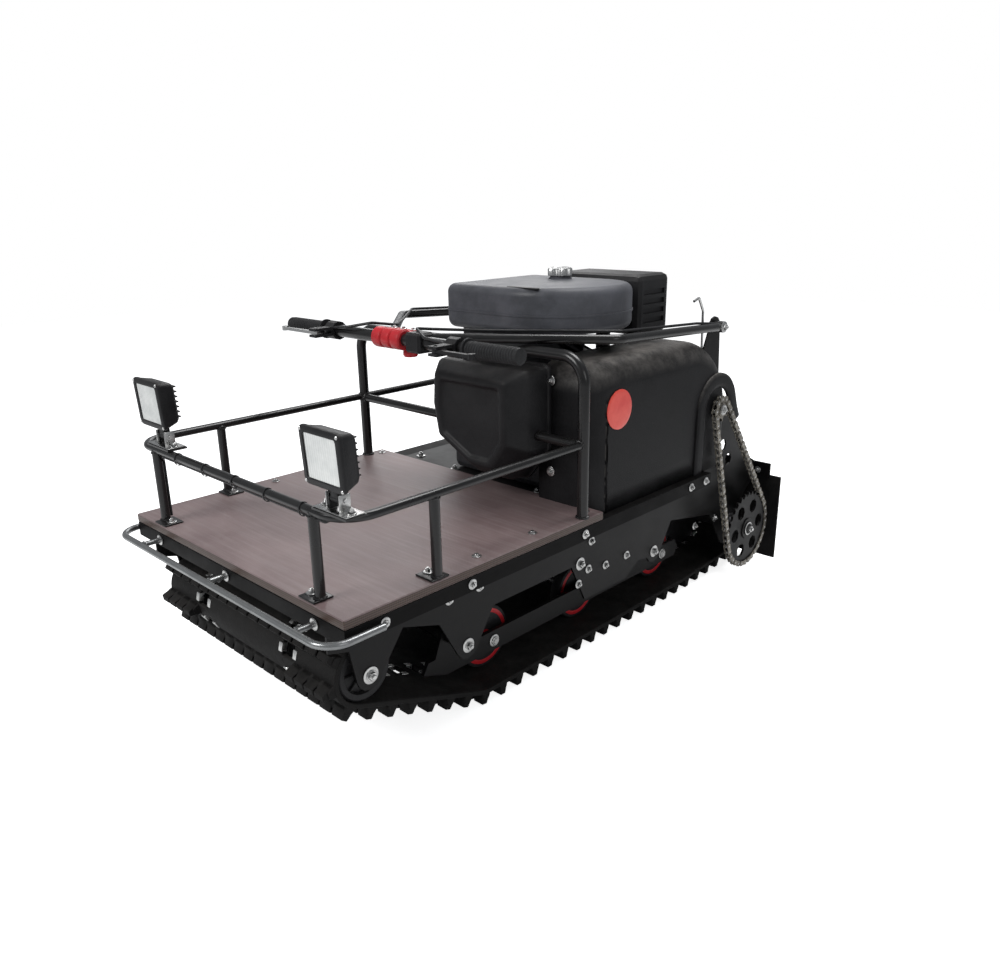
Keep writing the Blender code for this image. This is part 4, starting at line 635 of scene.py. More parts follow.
def guard_rail():
    """Rail on four posts with foot plates, bolts and weld beads."""
    bodies = [tube([(HOOP_X, 0.5027, RAIL_Z), (RAIL_X, RAIL_Y, RAIL_Z),
                    (-RAIL_X, RAIL_Y, RAIL_Z), (-HOOP_X, 0.5027, RAIL_Z)], 0.050, 14, RAIL_R, 24)]
    low = DECK_TOP + GAP
    heads = []
    for x, y in ((POST_X, RAIL_Y), SIDE_POST):
        for s in (1, -1):
            foot = sorted((s * (x - 0.030), s * (x + 0.008)))
            bodies += [post(s * x, y, low, RAIL_Z, POST_R),
                       weld((s * x, y, low + 0.0035), (0, 0, 1), POST_R),
                       weld((s * x, y, RAIL_Z - RAIL_R + 0.0012), (0, 0, 1), POST_R * 0.96,
                            0.0018),
                       block(*foot, y - 0.017, y + 0.017, low, low + 0.003, 0.0012)]
            heads.append((s * (x - 0.021), y, low + 0.003))
    made = piece("rail_with_posts", bodies, PAINT, "chassis")
    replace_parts(made, "guard_rail")
    plated("rail_foot_bolts", [bolts(heads, (0, 0, 1), 0.0075, 0.0045)])


def hoop():
    """The tall hoop behind the deck, its cross bar and the rear side rail."""
    low = DECK_TOP + GAP
    bodies = [tube([(-HOOP_X, HOOP_Y, low), (-HOOP_X, HOOP_Y, HOOP_TOP),
                    (HOOP_X, HOOP_Y, HOOP_TOP), (HOOP_X, HOOP_Y, low)], 0.045, 14, HOOP_R, 28,
                   (0, 1, 0)),
              tube([(-HOOP_X, HOOP_Y, RAIL_Z), (-HOOP_X, 0.860, RAIL_Z),
                    (-PLATE_OUT - 0.0066, 0.915, RAIL_Z)], 0.030, 8, RAIL_R, 20),
              across(-HOOP_X, HOOP_X, HOOP_Y, CROSS_Z, HOOP_R * 0.85),
              weld((-HOOP_X, HOOP_Y + HOOP_R, RAIL_Z), (0, 1, 0), RAIL_R, 0.0018)]
    for x in (-HOOP_X, HOOP_X):
        inside = x - math.copysign(HOOP_R, x)
        bodies += [weld((inside, HOOP_Y, CROSS_Z), (1, 0, 0), HOOP_R * 0.88, 0.002),
                   weld((x, HOOP_Y, low + 0.001), (0, 0, 1), HOOP_R, 0.0024),
                   weld((x, HOOP_Y - HOOP_R, RAIL_Z), (0, 1, 0), RAIL_R, 0.0018)]
    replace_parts(piece("hoop_tube", bodies, PAINT, "chassis"), "hoop")


def bumper():
    """The thin front bar on its stubs, with a washer and nut at each."""
    y, z = BUMPER_Y, BUMPER_Z
    stub = turned([(0.0046, 0), (0.0046, 0.034)], 16)
    bodies = [tube([(-BUMPER_X, 0.060, z), (-BUMPER_X, y, z), (BUMPER_X, y, z),
                    (BUMPER_X, 0.060, z)], 0.038, 14, BUMPER_R, 20),
              repeated(stub, [(x, y - GAP, z) for x in STUBS], facing((0, 1, 0)))]
    bodies += [weld((x, y + BUMPER_R, z), (0, 1, 0), 0.0048, 0.0014) for x in STUBS]
    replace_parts(piece("bumper_bar", bodies, GREY_TUBE, "chassis"), "bumper")
    spots = [(x, -0.0005, z) for x in STUBS]
    plated("bumper_nuts", [bolts(spots, (0, -1, 0), 0.0085, 0.005, False)])


def handle():
    """Bent arms, bar, ribbed grips and the red clamp with its knob."""
    half = [(ARM_X, *PIVOT), KINK, (0.030, 0.380, BAR_Z)]
    bodies = [tube(half + [(-x, y, z) for x, y, z in half[::-1]], 0.030, 10, ARM_R, 24)]
    eye = turned([(0.0105, 0), (0.0115, 0.001), (0.0115, 0.019), (0.0105, 0.020)], 28)
    for s in (-1, 1):
        bodies.append(moved(eye, facing((s, 0, 0)), (s * (PLATE_OUT + 0.0005), *PIVOT)))
    made = piece("handle_tube", bodies, PAINT, "handle")
    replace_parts(made, "handle_arms")
    ends = end_nuts(0.0, 0.2805, *PIVOT, 0.0105)
    ends += [across(x, x + 0.012, *PIVOT, 0.0055) for x in (-0.262, 0.250)]
    plated("pivot_bolts", ends, "handle")
    bar = across(-0.300, 0.300, BAR_Y, BAR_Z, BAR_R, 32)
    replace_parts(piece("bar_tube", [bar], PAINT, "handle"), "handlebar")
    first, last, deep, pitch = 0.190, 0.3035, 0.0007, 0.0057
    x = np.linspace(first, last, 160)
    rib = deep * np.clip(1.6 * np.sin(TURN * (x - first) / pitch), -1, 1)
    plain = (x < first + 0.006) | (x > last - 0.005)
    radius = GRIP_R - deep + np.where(plain, 0.0, rib)
    half = [(0.0175, 0.189), (0.0178, 0.1896), (0.0178, 0.1922), (0.0168, 0.1930),
            *zip(radius[4:], x[4:]), (GRIP_R - 0.002, 0.304), (0.006, 0.3042)]
    for label, s in (("left", -1), ("right", 1)):
        prof = [(r, s * v) for r, v in half[::s]]
        made = piece("ribbed_grip_" + label, [lathe_x(prof, 40, BAR_Y, BAR_Z)], GRIP_RUBBER,
                     "handle")
        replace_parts(made, "grip_" + label)
    collar = []
    for mid, w in ((-0.025, 0.012), (0.0, 0.011), (0.025, 0.012)):
        prof = both_sides([(0.0150, w), (0.0176, w - 0.002), (0.0180, w - 0.004)], mid)
        collar += [lathe_x(prof, 36, BAR_Y, BAR_Z),
                   block(mid - w, mid + w, BAR_Y, 0.393, BAR_Z - 0.0125, BAR_Z + 0.0125, 0.004, 4)]
    collar.append(block(-0.034, 0.034, BAR_Y + 0.012, 0.390, BAR_Z - 0.0085, BAR_Z + 0.0085,
                        0.003, 3))
    knob = [(0.0045, 0), (0.0045, 0.008), (0.0115, 0.010), (0.0130, 0.013), (0.0130, 0.019),
            (0.0110, 0.022), (0.0040, 0.0225)]
    collar.append(moved(turned(knob, 32), facing((0, 0, -1)), (0.024, 0.376, BAR_Z - 0.010)))
    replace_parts(piece("clamp_collar", collar, RED_SKIN, "handle"), "handle_clamp")
    heads = [(x, 0.383, BAR_Z + 0.0124) for x in (-0.025, 0.0, 0.025)]
    plated("clamp_bolts", [bolts(heads, (0, 0, 1), 0.0055, 0.003, False)], "handle")


def tank():
    """The moulded tank: its plan with corner radii, rounded rims and a seam."""
    left, right, front, back = -0.060, 0.245, 0.535, 0.790
    plan = np.concatenate([
        bend(right - 0.145, front + 0.145, 0.145, -90, 0, 20),
        bend(right - 0.105, back - 0.105, 0.105, 0, 90, 16),
        bend(left + 0.024, back - 0.024, 0.024, 90, 180, 8),
        bend(left + 0.020, front + 0.020, 0.020, 180, 270, 8)])
    run = np.roll(plan, -1, 0) - plan
    plan = plan[np.linalg.norm(run, axis=1) > 1e-6]
    body = slab(plan, 0.6003, 0.6823, 0.016, 8)
    bead = [(-0.003, -0.0022), (0.0016, -0.0016), (0.0016, 0.0016), (-0.003, 0.0022)]
    seam = swept(np.insert(plan, 2, 0.634, axis=1), bead, closed=True)
    neck = moved(turned([(0.023, 0), (0.0228, 0.003), (0.0195, 0.0045), (0.0195, 0.006)], 40),
                 to=(*CAP, 0.681))
    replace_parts(piece("tank_shell", [body, seam, neck], TANK_SKIN, "chassis"),
                "fuel_tank")
    a = np.linspace(0, TURN, 144, endpoint=False)
    plain = 0.0234
    knurl = plain + 0.0006 * np.cos(36 * a)
    rows = []
    for share, lift in ((0.94, 0.0), (1.0, 0.0012), (1.0, 0.0120), (0.93, 0.0150),
                        (0.80, 0.0158), (0.76, 0.0146), (0.30, 0.0146), (0.26, 0.0160),
                        (0.05, 0.0164)):
        flute = np.where(share < 0.9, plain, knurl) * share
        rows.append(np.stack([flute * np.cos(a), flute * np.sin(a), lift + 0 * a], -1))
    body = moved(shell(np.array(rows)), to=(*CAP, 0.6876))
    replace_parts(plated("knurled_cap", [body], "cap"), "fuel_cap")


def hood():
    """The hood's skin, lofted from its inner edge round to its side wall.

    Row by row the outline comes inward by R * (1 - cos) as it goes out by
    R * sin, and then runs down the side wall to the bottom edge.
    """
    low, outer, soft = HOOD_LOW, HOOD_OUT, 0.046
    line = np.concatenate([[(0.545, low)], bend(0.600, 0.505, 0.055, 180, 90, 14),
                           bend(0.870, 0.410, 0.150, 90, 8, 26), [(1.020, 0.375), (1.020, low)]])
    line = resampled(np.pad(line, ((0, 0), (0, 1))), 120)[:, :2]
    run = unit(np.gradient(line, axis=0))
    inward = np.stack([run[:, 1], -run[:, 0]], -1)
    inward[-12:] = (-1.0, 0.0)
    rows = [(line, HOOD_IN), (line, (HOOD_IN + outer) / 2)]
    for a in np.linspace(0, math.pi / 2, 9):
        rows.append((line + inward * soft * (1 - math.cos(a)), outer - soft + soft * math.sin(a)))
    rim = rows[-1][0].copy()
    rim[:, 1] = np.maximum(rim[:, 1], low)
    base = np.stack([np.clip(rim[:, 0], 0.59, 1.015), np.full(len(rim), low)], -1)
    for share in (0.04, 0.12, 0.3, 0.55, 0.8, 1.0):
        rows.append((rim + (base - rim) * share, outer))
    sheet = np.array([np.insert(p, 0, x, axis=1) for p, x in rows])
    sheet[:, :, 2] = np.maximum(sheet[:, :, 2], low)
    quads = grid(len(rows), len(line), joined=False)
    mesh = bpy.data.meshes.new("hood_skin")
    mesh.from_pydata(at(sheet.reshape(-1, 3)).tolist(), [], quads[:, ::-1].tolist())
    mesh.shade_smooth()
    mesh.materials.append(HOOD_SKIN)
    made = placed("hood_skin", mesh)
    wall = made.modifiers.new("wall", "SOLIDIFY")
    wall.thickness, wall.offset = 0.003, -1.0
    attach(made, "chassis")
    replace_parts(made, "drive_hood")
    y, z = JACK
    rib = np.concatenate([[(y - 0.063, low), (y - 0.062, low + 0.04)],
                          bend(y, z, 0.060, 176, 20, 34),
                          [(y + 0.0675, z - 0.010), (y + 0.080, z - 0.034)]])
    band = [(-0.0145, -0.001), (-0.0140, 0.0035), (-0.0115, 0.0055), (-0.006, 0.0062),
            (0.006, 0.0062), (0.0115, 0.0055), (0.0140, 0.0035), (0.0145, -0.001)]
    arch = swept(resampled(np.insert(rib, 0, outer, axis=1), 60), band, over=(1, 0, 0))
    piece("hood_arch", [arch], HOOD_SKIN, "chassis")
    disc = turned([(0.0345, 0), (0.036, 0.0006), (0.036, 0.0016), (0.0345, 0.0023),
                   (0.030, 0.0026), (0.012, 0.0028)], 64)
    disc = moved(disc, facing((1, 0, 0)), (outer + GAP, 0.622, 0.475))
    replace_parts(piece("plain_disc", [disc], DISC_RED, "chassis"), "hood_disc")


def front_cover():
    """The moulded cover: rings of one outline, scaled about its middle.

    A recess in its front face and a lip at its rear follow the same outline.
    """
    left, low, wide, tall = -0.048, 0.338, 0.250, 0.218
    shape = [(0.515, 1.0), (0.03, 1.0), (0.0, 0.62), (0.06, 0.26), (0.50, 0.0), (0.80, 0.0),
             (1.0, 0.30), (1.0, 1.0), (0.515, 1.0)]
    line = smooth_line([(left + wide * u, low + tall * v, 0.0) for u, v in shape], 0.014, 6)
    line = resampled(line, 145)[:-1, :2]
    centre = np.array([left + wide * 0.5, low + tall * 0.45])
    rows = []
    for depth, scale, rise in ((0.0, 0.97, 0.0), (0.0, 1.0, 0.0), (0.006, 1.0, 0.0),
                               (0.008, 0.975, 0.0), (0.044, 0.95, 0.0), (0.050, 0.94, 0.001),
                               (0.056, 0.92, 0.002), (0.078, 0.785, 0.006),
                               (0.083, 0.755, 0.0065), (0.086, 0.72, 0.007),
                               (0.086, 0.64, 0.007), (0.0845, 0.62, 0.007),
                               (0.081, 0.60, 0.007), (0.080, 0.56, 0.007), (0.080, 0.10, 0.007)):
        loop = centre + (line - centre) * scale + [0.0, rise]
        rows.append(np.insert(loop, 1, COVER_Y - depth, axis=1))
    made = piece("moulded_cover", [shell(np.array(rows))], MOULDING, "chassis", 50)
    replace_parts(made, "front_guard")
    spots = [(0.0, 0.5375, 0.5445), (0.150, 0.5375, 0.5445)]
    plated("cover_bolts", [bolts(spots, (0, 0, 1), 0.0065, 0.003, False)])


def engine():
    """Starter cover with its slots, plug and lead, filler, hose and bolts."""
    y, z = STARTER
    prof = [(0.0120, -0.1744), (0.0440, -0.1743), (0.0520, -0.1728), (0.0560, -0.1690),
            (0.0590, -0.1640), (0.0640, -0.1622), (0.0860, -0.1590), (0.0925, -0.1550),
            (0.0965, -0.1500), (0.0980, -0.1440), (0.0980, -0.1190), (0.0970, -0.1150),
            (0.0900, -0.1126)]
    bodies = [lathe_x(prof, 64, y, z),
              block(-0.157, -0.129, 0.744, 0.808, 0.4644, 0.4924, 0.004, 4)]
    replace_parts(piece("starter_cover", bodies, MOULDING, "chassis"), "recoil_starter")
    slot = block(0.064, 0.086, -0.0024, 0.0024, -0.0030, 0.0030, 0.001, 1)
    piece("starter_slots", [spokes(slot, 18, -0.1583, y, z)], CABLE_SKIN, "chassis")
    rib = block(-0.0015, 0.0015, 0.6095, 0.7905, 0.4945, 0.4985, 0.001, 1)
    piece("case_ribs", [repeated(rib, [(x, 0, 0) for x in np.linspace(-0.096, -0.048, 5)])],
          CAST, "chassis")
    spots = [(-0.1560, y + 0.0785 * math.cos(t), z + 0.0785 * math.sin(t))
             for t in (0.5, 2.6, 4.7)]
    feet = [(x, fy, 0.2953) for x, fy in ((-0.095, 0.581), (0.135, 0.581), (-0.095, 0.820),
            (0.135, 0.820), (-0.225, 0.600), (-0.225, 0.880), (0.225, 0.890))]
    sump = [(-0.060, 0.8053, 0.318), (0.100, 0.8053, 0.318)]
    plated("engine_bolts", [bolts(feet, (0, 0, 1), 0.0095, 0.0055),
                            bolts(sump, (0, 1, 0), 0.0095),
                            bolts(spots, (-1, 0, 0), 0.0062, 0.003, False)])
    boot = turned([(0.0105, 0), (0.0105, 0.016), (0.0085, 0.020), (0.0080, 0.030),
                   (0.0060, 0.033)], 24)
    filler = turned([(0.016, 0), (0.0165, 0.001), (0.0165, 0.008), (0.013, 0.010),
                     (0.006, 0.010), (0.0055, 0.017), (0.003, 0.018)], 28)
    piece("plug_boot_and_filler", [moved(boot, facing((-1, 0, 0)), (-0.0555, 0.765, 0.541)),
                                   moved(filler, facing((0, 1, 0)), (0.020, 0.8053, 0.336))],
          MOULDING, "chassis")
    lead = tube([(-0.086, 0.765, 0.541), (-0.104, 0.765, 0.540), (-0.108, 0.735, 0.536),
                 (-0.104, 0.700, 0.505)], 0.010, 6, 0.0033, 14, count=40)
    hose = tube([(-0.030, 0.600, 0.603), (-0.030, 0.600, 0.560), (-0.052, 0.640, 0.530),
                 (-0.052, 0.655, 0.494)], 0.015, 6, 0.0042, 14, (1, 0, 0), 50)
    piece("lead_and_hose", [lead, hose], CABLE_SKIN, "chassis")


def flap_strip():
    """A pressed strip with rivets that holds the flap's upper edge."""
    strip = block(-0.312, 0.312, 1.2160, 1.2192, 0.190, 0.2085, 0.0012, 2)
    spots = [(x, 1.2190, 0.199) for x in np.linspace(-0.2925, 0.2925, 10)]
    dome = turned([(0.0052, 0), (0.0050, 0.0007), (0.0036, 0.0016), (0.0012, 0.0021)], 20)
    plated("flap_strip", [strip, repeated(dome, spots, facing((0, 1, 0)))], "flap")


def lamp_leads():
    """The lamps' wiring, tied under the front rail and down the left post."""
    wire = 0.0022
    y, z = RAIL_Y, RAIL_Z - RAIL_R - wire
    behind = (-POST_X, RAIL_Y + 0.0105)
    run = tube([(LAMPS["right"], 0.030, 0.4452), (0.262, y, z), (-0.210, y, z),
                (*behind, 0.412), (*behind, 0.312)], 0.010, 6, wire, 10, (0, 1, 0.01), 300)
    a = np.arange(40) * TURN / 40
    loop = np.stack([0 * a, 0.0079 * np.cos(a), 0.0101 * np.sin(a)], -1)
    band = swept(loop, [(-0.0005, -0.0014), (0.0005, -0.0014), (0.0005, 0.0014),
                        (-0.0005, 0.0014)], over=(1, 0, 0), closed=True)
    ties = [(x, y, RAIL_Z - wire) for x in (0.21, 0.12, 0.03, -0.06, -0.15)]
    piece("lamp_wiring", [run, repeated(band, ties)], CABLE_SKIN, "chassis")


# Track, chain and wheels


def belt(wheels, marks):
    """Places and outward angles at distances along a belt round circles.

    The circles (y, z, radius) are listed anticlockwise from +X. The straight
    from A to B leaves A at the angle of the line of centres less
    acos((ra - rb) / distance).
    """
    n = len(wheels)
    leave = []
    for (ya, za, ra), (yb, zb, rb) in zip(wheels, wheels[1:] + wheels[:1]):
        far = math.hypot(yb - ya, zb - za)
        leave.append(math.atan2(zb - za, yb - ya) - math.acos((ra - rb) / far))
    knots, spots = [0.0], []
    for i in range(n):
        (y, z, r), (yb, zb, rb) = wheels[i], wheels[(i + 1) % n]
        sweep = (leave[i] - leave[i - 1]) % TURN
        out = np.array([math.cos(leave[i]), math.sin(leave[i])])
        p, q = np.array([y, z]) + r * out, np.array([yb, zb]) + rb * out
        knots += [knots[-1] + r * sweep, knots[-1] + r * sweep + math.dist(p, q)]
        spots += [(y, z, r, leave[i - 1]), (*p, 0.0, leave[i])]
    s = np.asarray(marks, float) % knots[-1]
    place, angle = np.zeros((len(s), 2)), np.zeros(len(s))
    for (y, z, r, a0), low, high in zip(spots, knots, knots[1:]):
        here = (s >= low) & (s <= high)
        left = s[here] - low
        a = a0 + left / r if r else np.full(left.shape, a0)
        turn = np.stack([np.cos(a), np.sin(a)], -1)
        along = np.stack([-np.sin(a), np.cos(a)], -1)
        place[here] = np.array([y, z]) + (r * turn if r else left[:, None] * along)
        angle[here] = a
    return place, angle, knots[-1], leave[-1]


def on_belt(place, angle, x=0.0):
    """Places and turns whose X stays X and whose Z points out of the belt."""
    return np.insert(place, 0, x, axis=1), about_x(angle)[:, :, ::-1] * [1, -1, 1]


def lug(width, height=0.0199):
    """A lug block: a rounded trapezoid section, drawn in at both ends."""
    k = height / 0.0199
    section = np.array([(-0.0100, -0.002), (-0.0088, 0.004), (-0.0062, 0.0165 * k),
                        (-0.0048, 0.0199 * k), (0.0048, 0.0199 * k), (0.0062, 0.0165 * k),
                        (0.0088, 0.004), (0.0100, -0.002)])
    end, eased = width / 2, width / 2 - 0.0012
    return shell(np.array([np.insert(section * [share, 0.5 + share / 2], 0, x, axis=1)
                           for x, share in ((-end, 0.90), (-eased, 1.0), (eased, 1.0),
                                            (end, 0.90))]))


def track():
    """The windowed band, its lugs in rows of blocks, and its steel clips."""
    wheels = [(*DRIVE, 12 * PITCH / TURN), (*NOSE, 0.0525), (0.330, 0.084, 0.060),
              (0.940, 0.084, 0.060)]
    length, lead = belt(wheels, [0.0])[2:]
    zero = -lead * wheels[0][2]
    row = PITCH / 2
    steps = zero + np.linspace(0, length, PITCHES * 8, endpoint=False)
    path = np.insert(belt(wheels, steps)[0], 0, 0.0, axis=1)
    inner, outer, half = 0.115, 0.145, 0.250
    e, t = 0.0012, BELT_HALF
    bodies = []
    for x0, x1 in ((-half, -outer), (-inner, inner), (outer, half)):
        rim = [(-t, x0 + e), (-t + e, x0), (t - e, x0), (t, x0 + e), (t, x1 - e), (t - e, x1),
               (-t + e, x1), (-t, x1 - e)]
        bodies.append(swept(path, rim, over=(1, 0, 0), closed=True))
    even, odd = (zero + np.arange(k, 2 * PITCHES, 2) * row for k in (0, 1))
    place, angle = belt(wheels, odd)[:2]
    bar = block(-0.017, 0.017, -row / 2 + 0.0005, row / 2 - 0.0005, -0.0038, 0.0038, 0.0015, 1)
    for x in (-0.130, 0.130):
        bodies.append(turned_each(bar, *on_belt(place, angle, x)))
    place = place + t * np.stack([np.cos(angle), np.sin(angle)], -1)
    full = place[::2], angle[::2]
    part = place[1::2], angle[1::2]
    bodies.append(turned_each(lug(0.498, 0.0115), *on_belt(*full)))
    for x in np.linspace(0.0156 - half, half - 0.0156, 16):
        bodies.append(turned_each(lug(0.0270), *on_belt(*full, x)))
    for s in (-1, 1):
        x = s * (outer + half) / 2
        bodies.append(turned_each(lug(half - outer - 0.002, 0.0115), *on_belt(*part, x)))
        for k in range(4):
            x = s * (outer + 0.0140 + k * 0.0257)
            bodies.append(turned_each(lug(0.0225), *on_belt(*part, x)))
    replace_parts(piece("lugged_track", bodies, RUBBER, "chassis"), "track_belt")
    place, angle = belt(wheels, even)[:2]
    clip = block(-0.0045, 0.0045, -0.0075, 0.0075, -0.0052, 0.0050, 0.0012, 2)
    clips = [turned_each(clip, *on_belt(place, angle, s * x)) for s in (-1, 1)
             for x in (inner - 0.0042, outer + 0.0042)]
    piece("track_clips", clips, CLIP_STEEL, "chassis")


def chain():
    """Roller chain: figure-of-eight plates, rollers and riveted pins."""
    small, large = (CHAIN_PITCH / (2 * math.sin(math.pi / n)) for n in CHAIN_TEETH)
    wheels = [(*DRIVE, large), (*JACK, small)]
    length, lead = belt(wheels, [0.0])[2:]
    start = (-math.pi / 2 - lead) % TURN * large
    place = belt(wheels, start + np.arange(CHAIN_LINKS) * length / CHAIN_LINKS)[0]
    ahead = np.roll(place, -1, 0) - place
    step = np.linalg.norm(ahead, axis=1).mean()
    plan = np.concatenate([bend(0, 0, 0.0068, 110, 250, 8), [(step / 2, -0.0050)],
                           bend(step, 0, 0.0068, -70, 70, 8), [(step / 2, 0.0050)]])
    turns = about_x(np.arctan2(ahead[:, 1], ahead[:, 0]))
    spots = np.insert(place, 0, CHAIN_X, axis=1)
    bodies = []
    for side in (-1, 1):
        for odd, x in ((0, 0.0026), (1, 0.0041)):
            plate = slab(plan, *sorted((side * x, side * (x + 0.0013))), 0.0003, 1)
            bodies.append(turned_each(plate, spots[odd::2], turns[odd::2]))
    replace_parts(piece("chain_plates", bodies, CHAIN_STEEL, "chassis"), "roller_chain")
    barrel = turned(both_sides([(0.0047, 0.0025), (0.0049, 0.0022)]), 14)
    pin = turned(both_sides([(0.0016, 0.0062), (0.0023, 0.0058)]), 12)
    plated("chain_pins", [turned_each(barrel, spots, turns), turned_each(pin, spots, turns)])


def wheels():
    """Road wheels: dished discs with ribs, their tyres and axles."""
    disc = [(0.008, 0.012), (0.013, 0.012), (0.015, 0.006), (0.040, 0.0035), (0.043, 0.006),
            (0.0445, 0.0115), (0.050, 0.0125), (0.0545, 0.0105)]
    tread = [(0.054, 0.0115), (0.0575, 0.0105), (0.0592, 0.007), (0.0594, 0.0)]
    spoke = block(0.013, 0.043, -0.0016, 0.0016, -0.0085, 0.0085, 0.001, 1)
    for label, y in ROADS.items():
        red, tyre = [], []
        for x in (-ROAD_X, ROAD_X):
            red += [lathe_x(both_sides(disc, x), 48, y, ROAD_Z), spokes(spoke, 6, x, y, ROAD_Z)]
            tyre.append(lathe_x(both_sides(tread, x), 56, y, ROAD_Z))
        made = piece("wheel_pair_" + label, red, RED_SKIN, "road_" + label)
        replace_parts(made, "road_wheels_" + label)
        piece("wheel_tyres_" + label, tyre, GRIP_RUBBER, "road_" + label)
        axle = [across(-0.217, 0.217, y, ROAD_Z, 0.0079)]
        axle += end_nuts(0.0, 0.2125, y, ROAD_Z, 0.0105, 0.004, False)
        plated("wheel_axle_" + label, axle, "road_" + label)


def nose():
    """Two pairs of spoked wheels on the nose axle."""
    half = [(0.009, 0.011), (0.015, 0.011), (0.017, 0.004), (0.034, 0.003), (0.036, 0.0105),
            (0.044, 0.0115), (0.0470, 0.009)]
    spoke = block(0.014, 0.036, -0.0014, 0.0014, -0.0075, 0.0075, 0.001, 1)
    bodies = []
    for x in (-0.235, -0.170, 0.170, 0.235):
        bodies += [lathe_x(both_sides(half, x), 48, *NOSE), spokes(spoke, 8, x, *NOSE)]
    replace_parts(piece("nose_wheels", bodies, MOULDING, "idler"), "front_idler")
    plated("nose_axle", [across(-0.264, 0.264, *NOSE, 0.0089)], "idler")


# Lamps, bolts and cables


def lamp_head(side):
    """A tapered lamp body with cooling fins, its ribbed face and four screws."""
    x = LAMPS[side]
    tilt = np.array(Matrix.Rotation(math.radians(3.0), 3, "X"))
    hinge = np.array([x, *HINGE])

    def tipped(body):
        """Tipped forward about the hinge."""
        points, faces, ends = body
        return (points - hinge) @ tilt.T + hinge, faces, ends

    def frame_rows(sizes):
        """Rings of (width, height, corner radius, y)."""
        rows = []
        for w, h, r, y in sizes:
            a, b = w / 2 - r, h / 2 - r
            p = np.concatenate([bend(a, b, r, 0, 90, 6), bend(-a, b, r, 90, 180, 6),
                                bend(-a, -b, r, 180, 270, 6), bend(a, -b, r, 270, 360, 6)])
            rows.append(np.insert(p + [x, LAMP_MID], 1, y, axis=1))
        return shell(np.array(rows))

    bodies = [
        frame_rows([(0.084, 0.076, 0.008, 0.0125), (0.084, 0.076, 0.008, 0.020),
                    (0.076, 0.068, 0.008, 0.036), (0.070, 0.062, 0.008, 0.040),
                    (0.064, 0.056, 0.008, 0.041)]),
        frame_rows([(0.070, 0.062, 0.004, 0.0130), (0.070, 0.062, 0.004, 0.0092),
                    (0.072, 0.064, 0.005, 0.0082), (0.084, 0.076, 0.008, 0.0082),
                    (0.0885, 0.0805, 0.009, 0.0096), (0.0895, 0.0815, 0.009, 0.0120),
                    (0.0885, 0.0805, 0.009, 0.0150), (0.080, 0.072, 0.008, 0.0152)])]
    fin = block(x - 0.029, x + 0.029, 0.038, 0.0475, -0.0012, 0.0012, 0.001, 2)
    bodies += [repeated(fin, [(0, 0, LAMP_MID + k * 0.0085) for k in range(-3, 4)]),
               block(x - 0.0095, x + 0.0095, 0.021, 0.033, 0.458, 0.492, 0.003, 3),
               across(x - 0.0097, x + 0.0097, *HINGE, 0.0066)]
    made = piece("lamp_body_" + side, [tipped(b) for b in bodies], MOULDING, "lamp_" + side)
    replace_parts(made, "lamp_housing_" + side)
    u = np.linspace(-0.0346, 0.0346, 113)
    v = np.linspace(-0.0306, 0.0306, 9)
    bulge = 0.0004 * np.abs(np.sin(math.pi * (u + 0.0346) / 0.0049))
    front = np.stack(np.broadcast_arrays(u[None, :], 0.0101 - bulge[None, :], v[:, None]), -1)
    face = np.concatenate([front, front[:, ::-1] * [1, 0, 1] + [0, 0.0125, 0]], 1)
    face = tipped(shell(face + [x, 0, LAMP_MID]))
    made = piece("lamp_face_" + side, [face], LENS, "lamp_" + side)
    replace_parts(made, "lamp_glass_" + side)
    spots = [(x + sx * 0.0395, 0.0086, LAMP_MID + sz * 0.0355) for sx in (-1, 1)
             for sz in (-1, 1)]
    heads = repeated(turned([(0.0026, 0), (0.0026, 0.0006), (0.0020, 0.0011)], 16), spots,
                     facing((0, -1, 0)))
    stud = [across(x - 0.0165, x + 0.0165, *HINGE, 0.0028)]
    stud += end_nuts(x, 0.0136, *HINGE, 0.0058, 0.003, False)
    plated("lamp_screws_" + side, [tipped(heads)] + stud, "lamp_" + side)


def lamp_bracket(side):
    """A plated foot over the rail with its U-bolt ends and folded ears."""
    x, y, low = LAMPS[side], HINGE[0], 0.4465
    bodies = [block(x - 0.037, x + 0.037, 0.0115, 0.0425, low - 0.0009, low + 0.0009, 0.0008, 2)]
    for s in (-1, 1):
        ear, bolt = x + s * 0.0146, x + s * 0.0285
        bodies += [block(ear - 0.0010, ear + 0.0010, 0.018, 0.036, low, 0.4705, 0.0008, 2),
                   post(bolt, y, low, 0.4545, 0.0028, 16),
                   moved(hexagon(0.0062, 0.0032, False), to=(bolt, y, low + 0.0009))]
    plated("lamp_bracket_" + side, bodies)


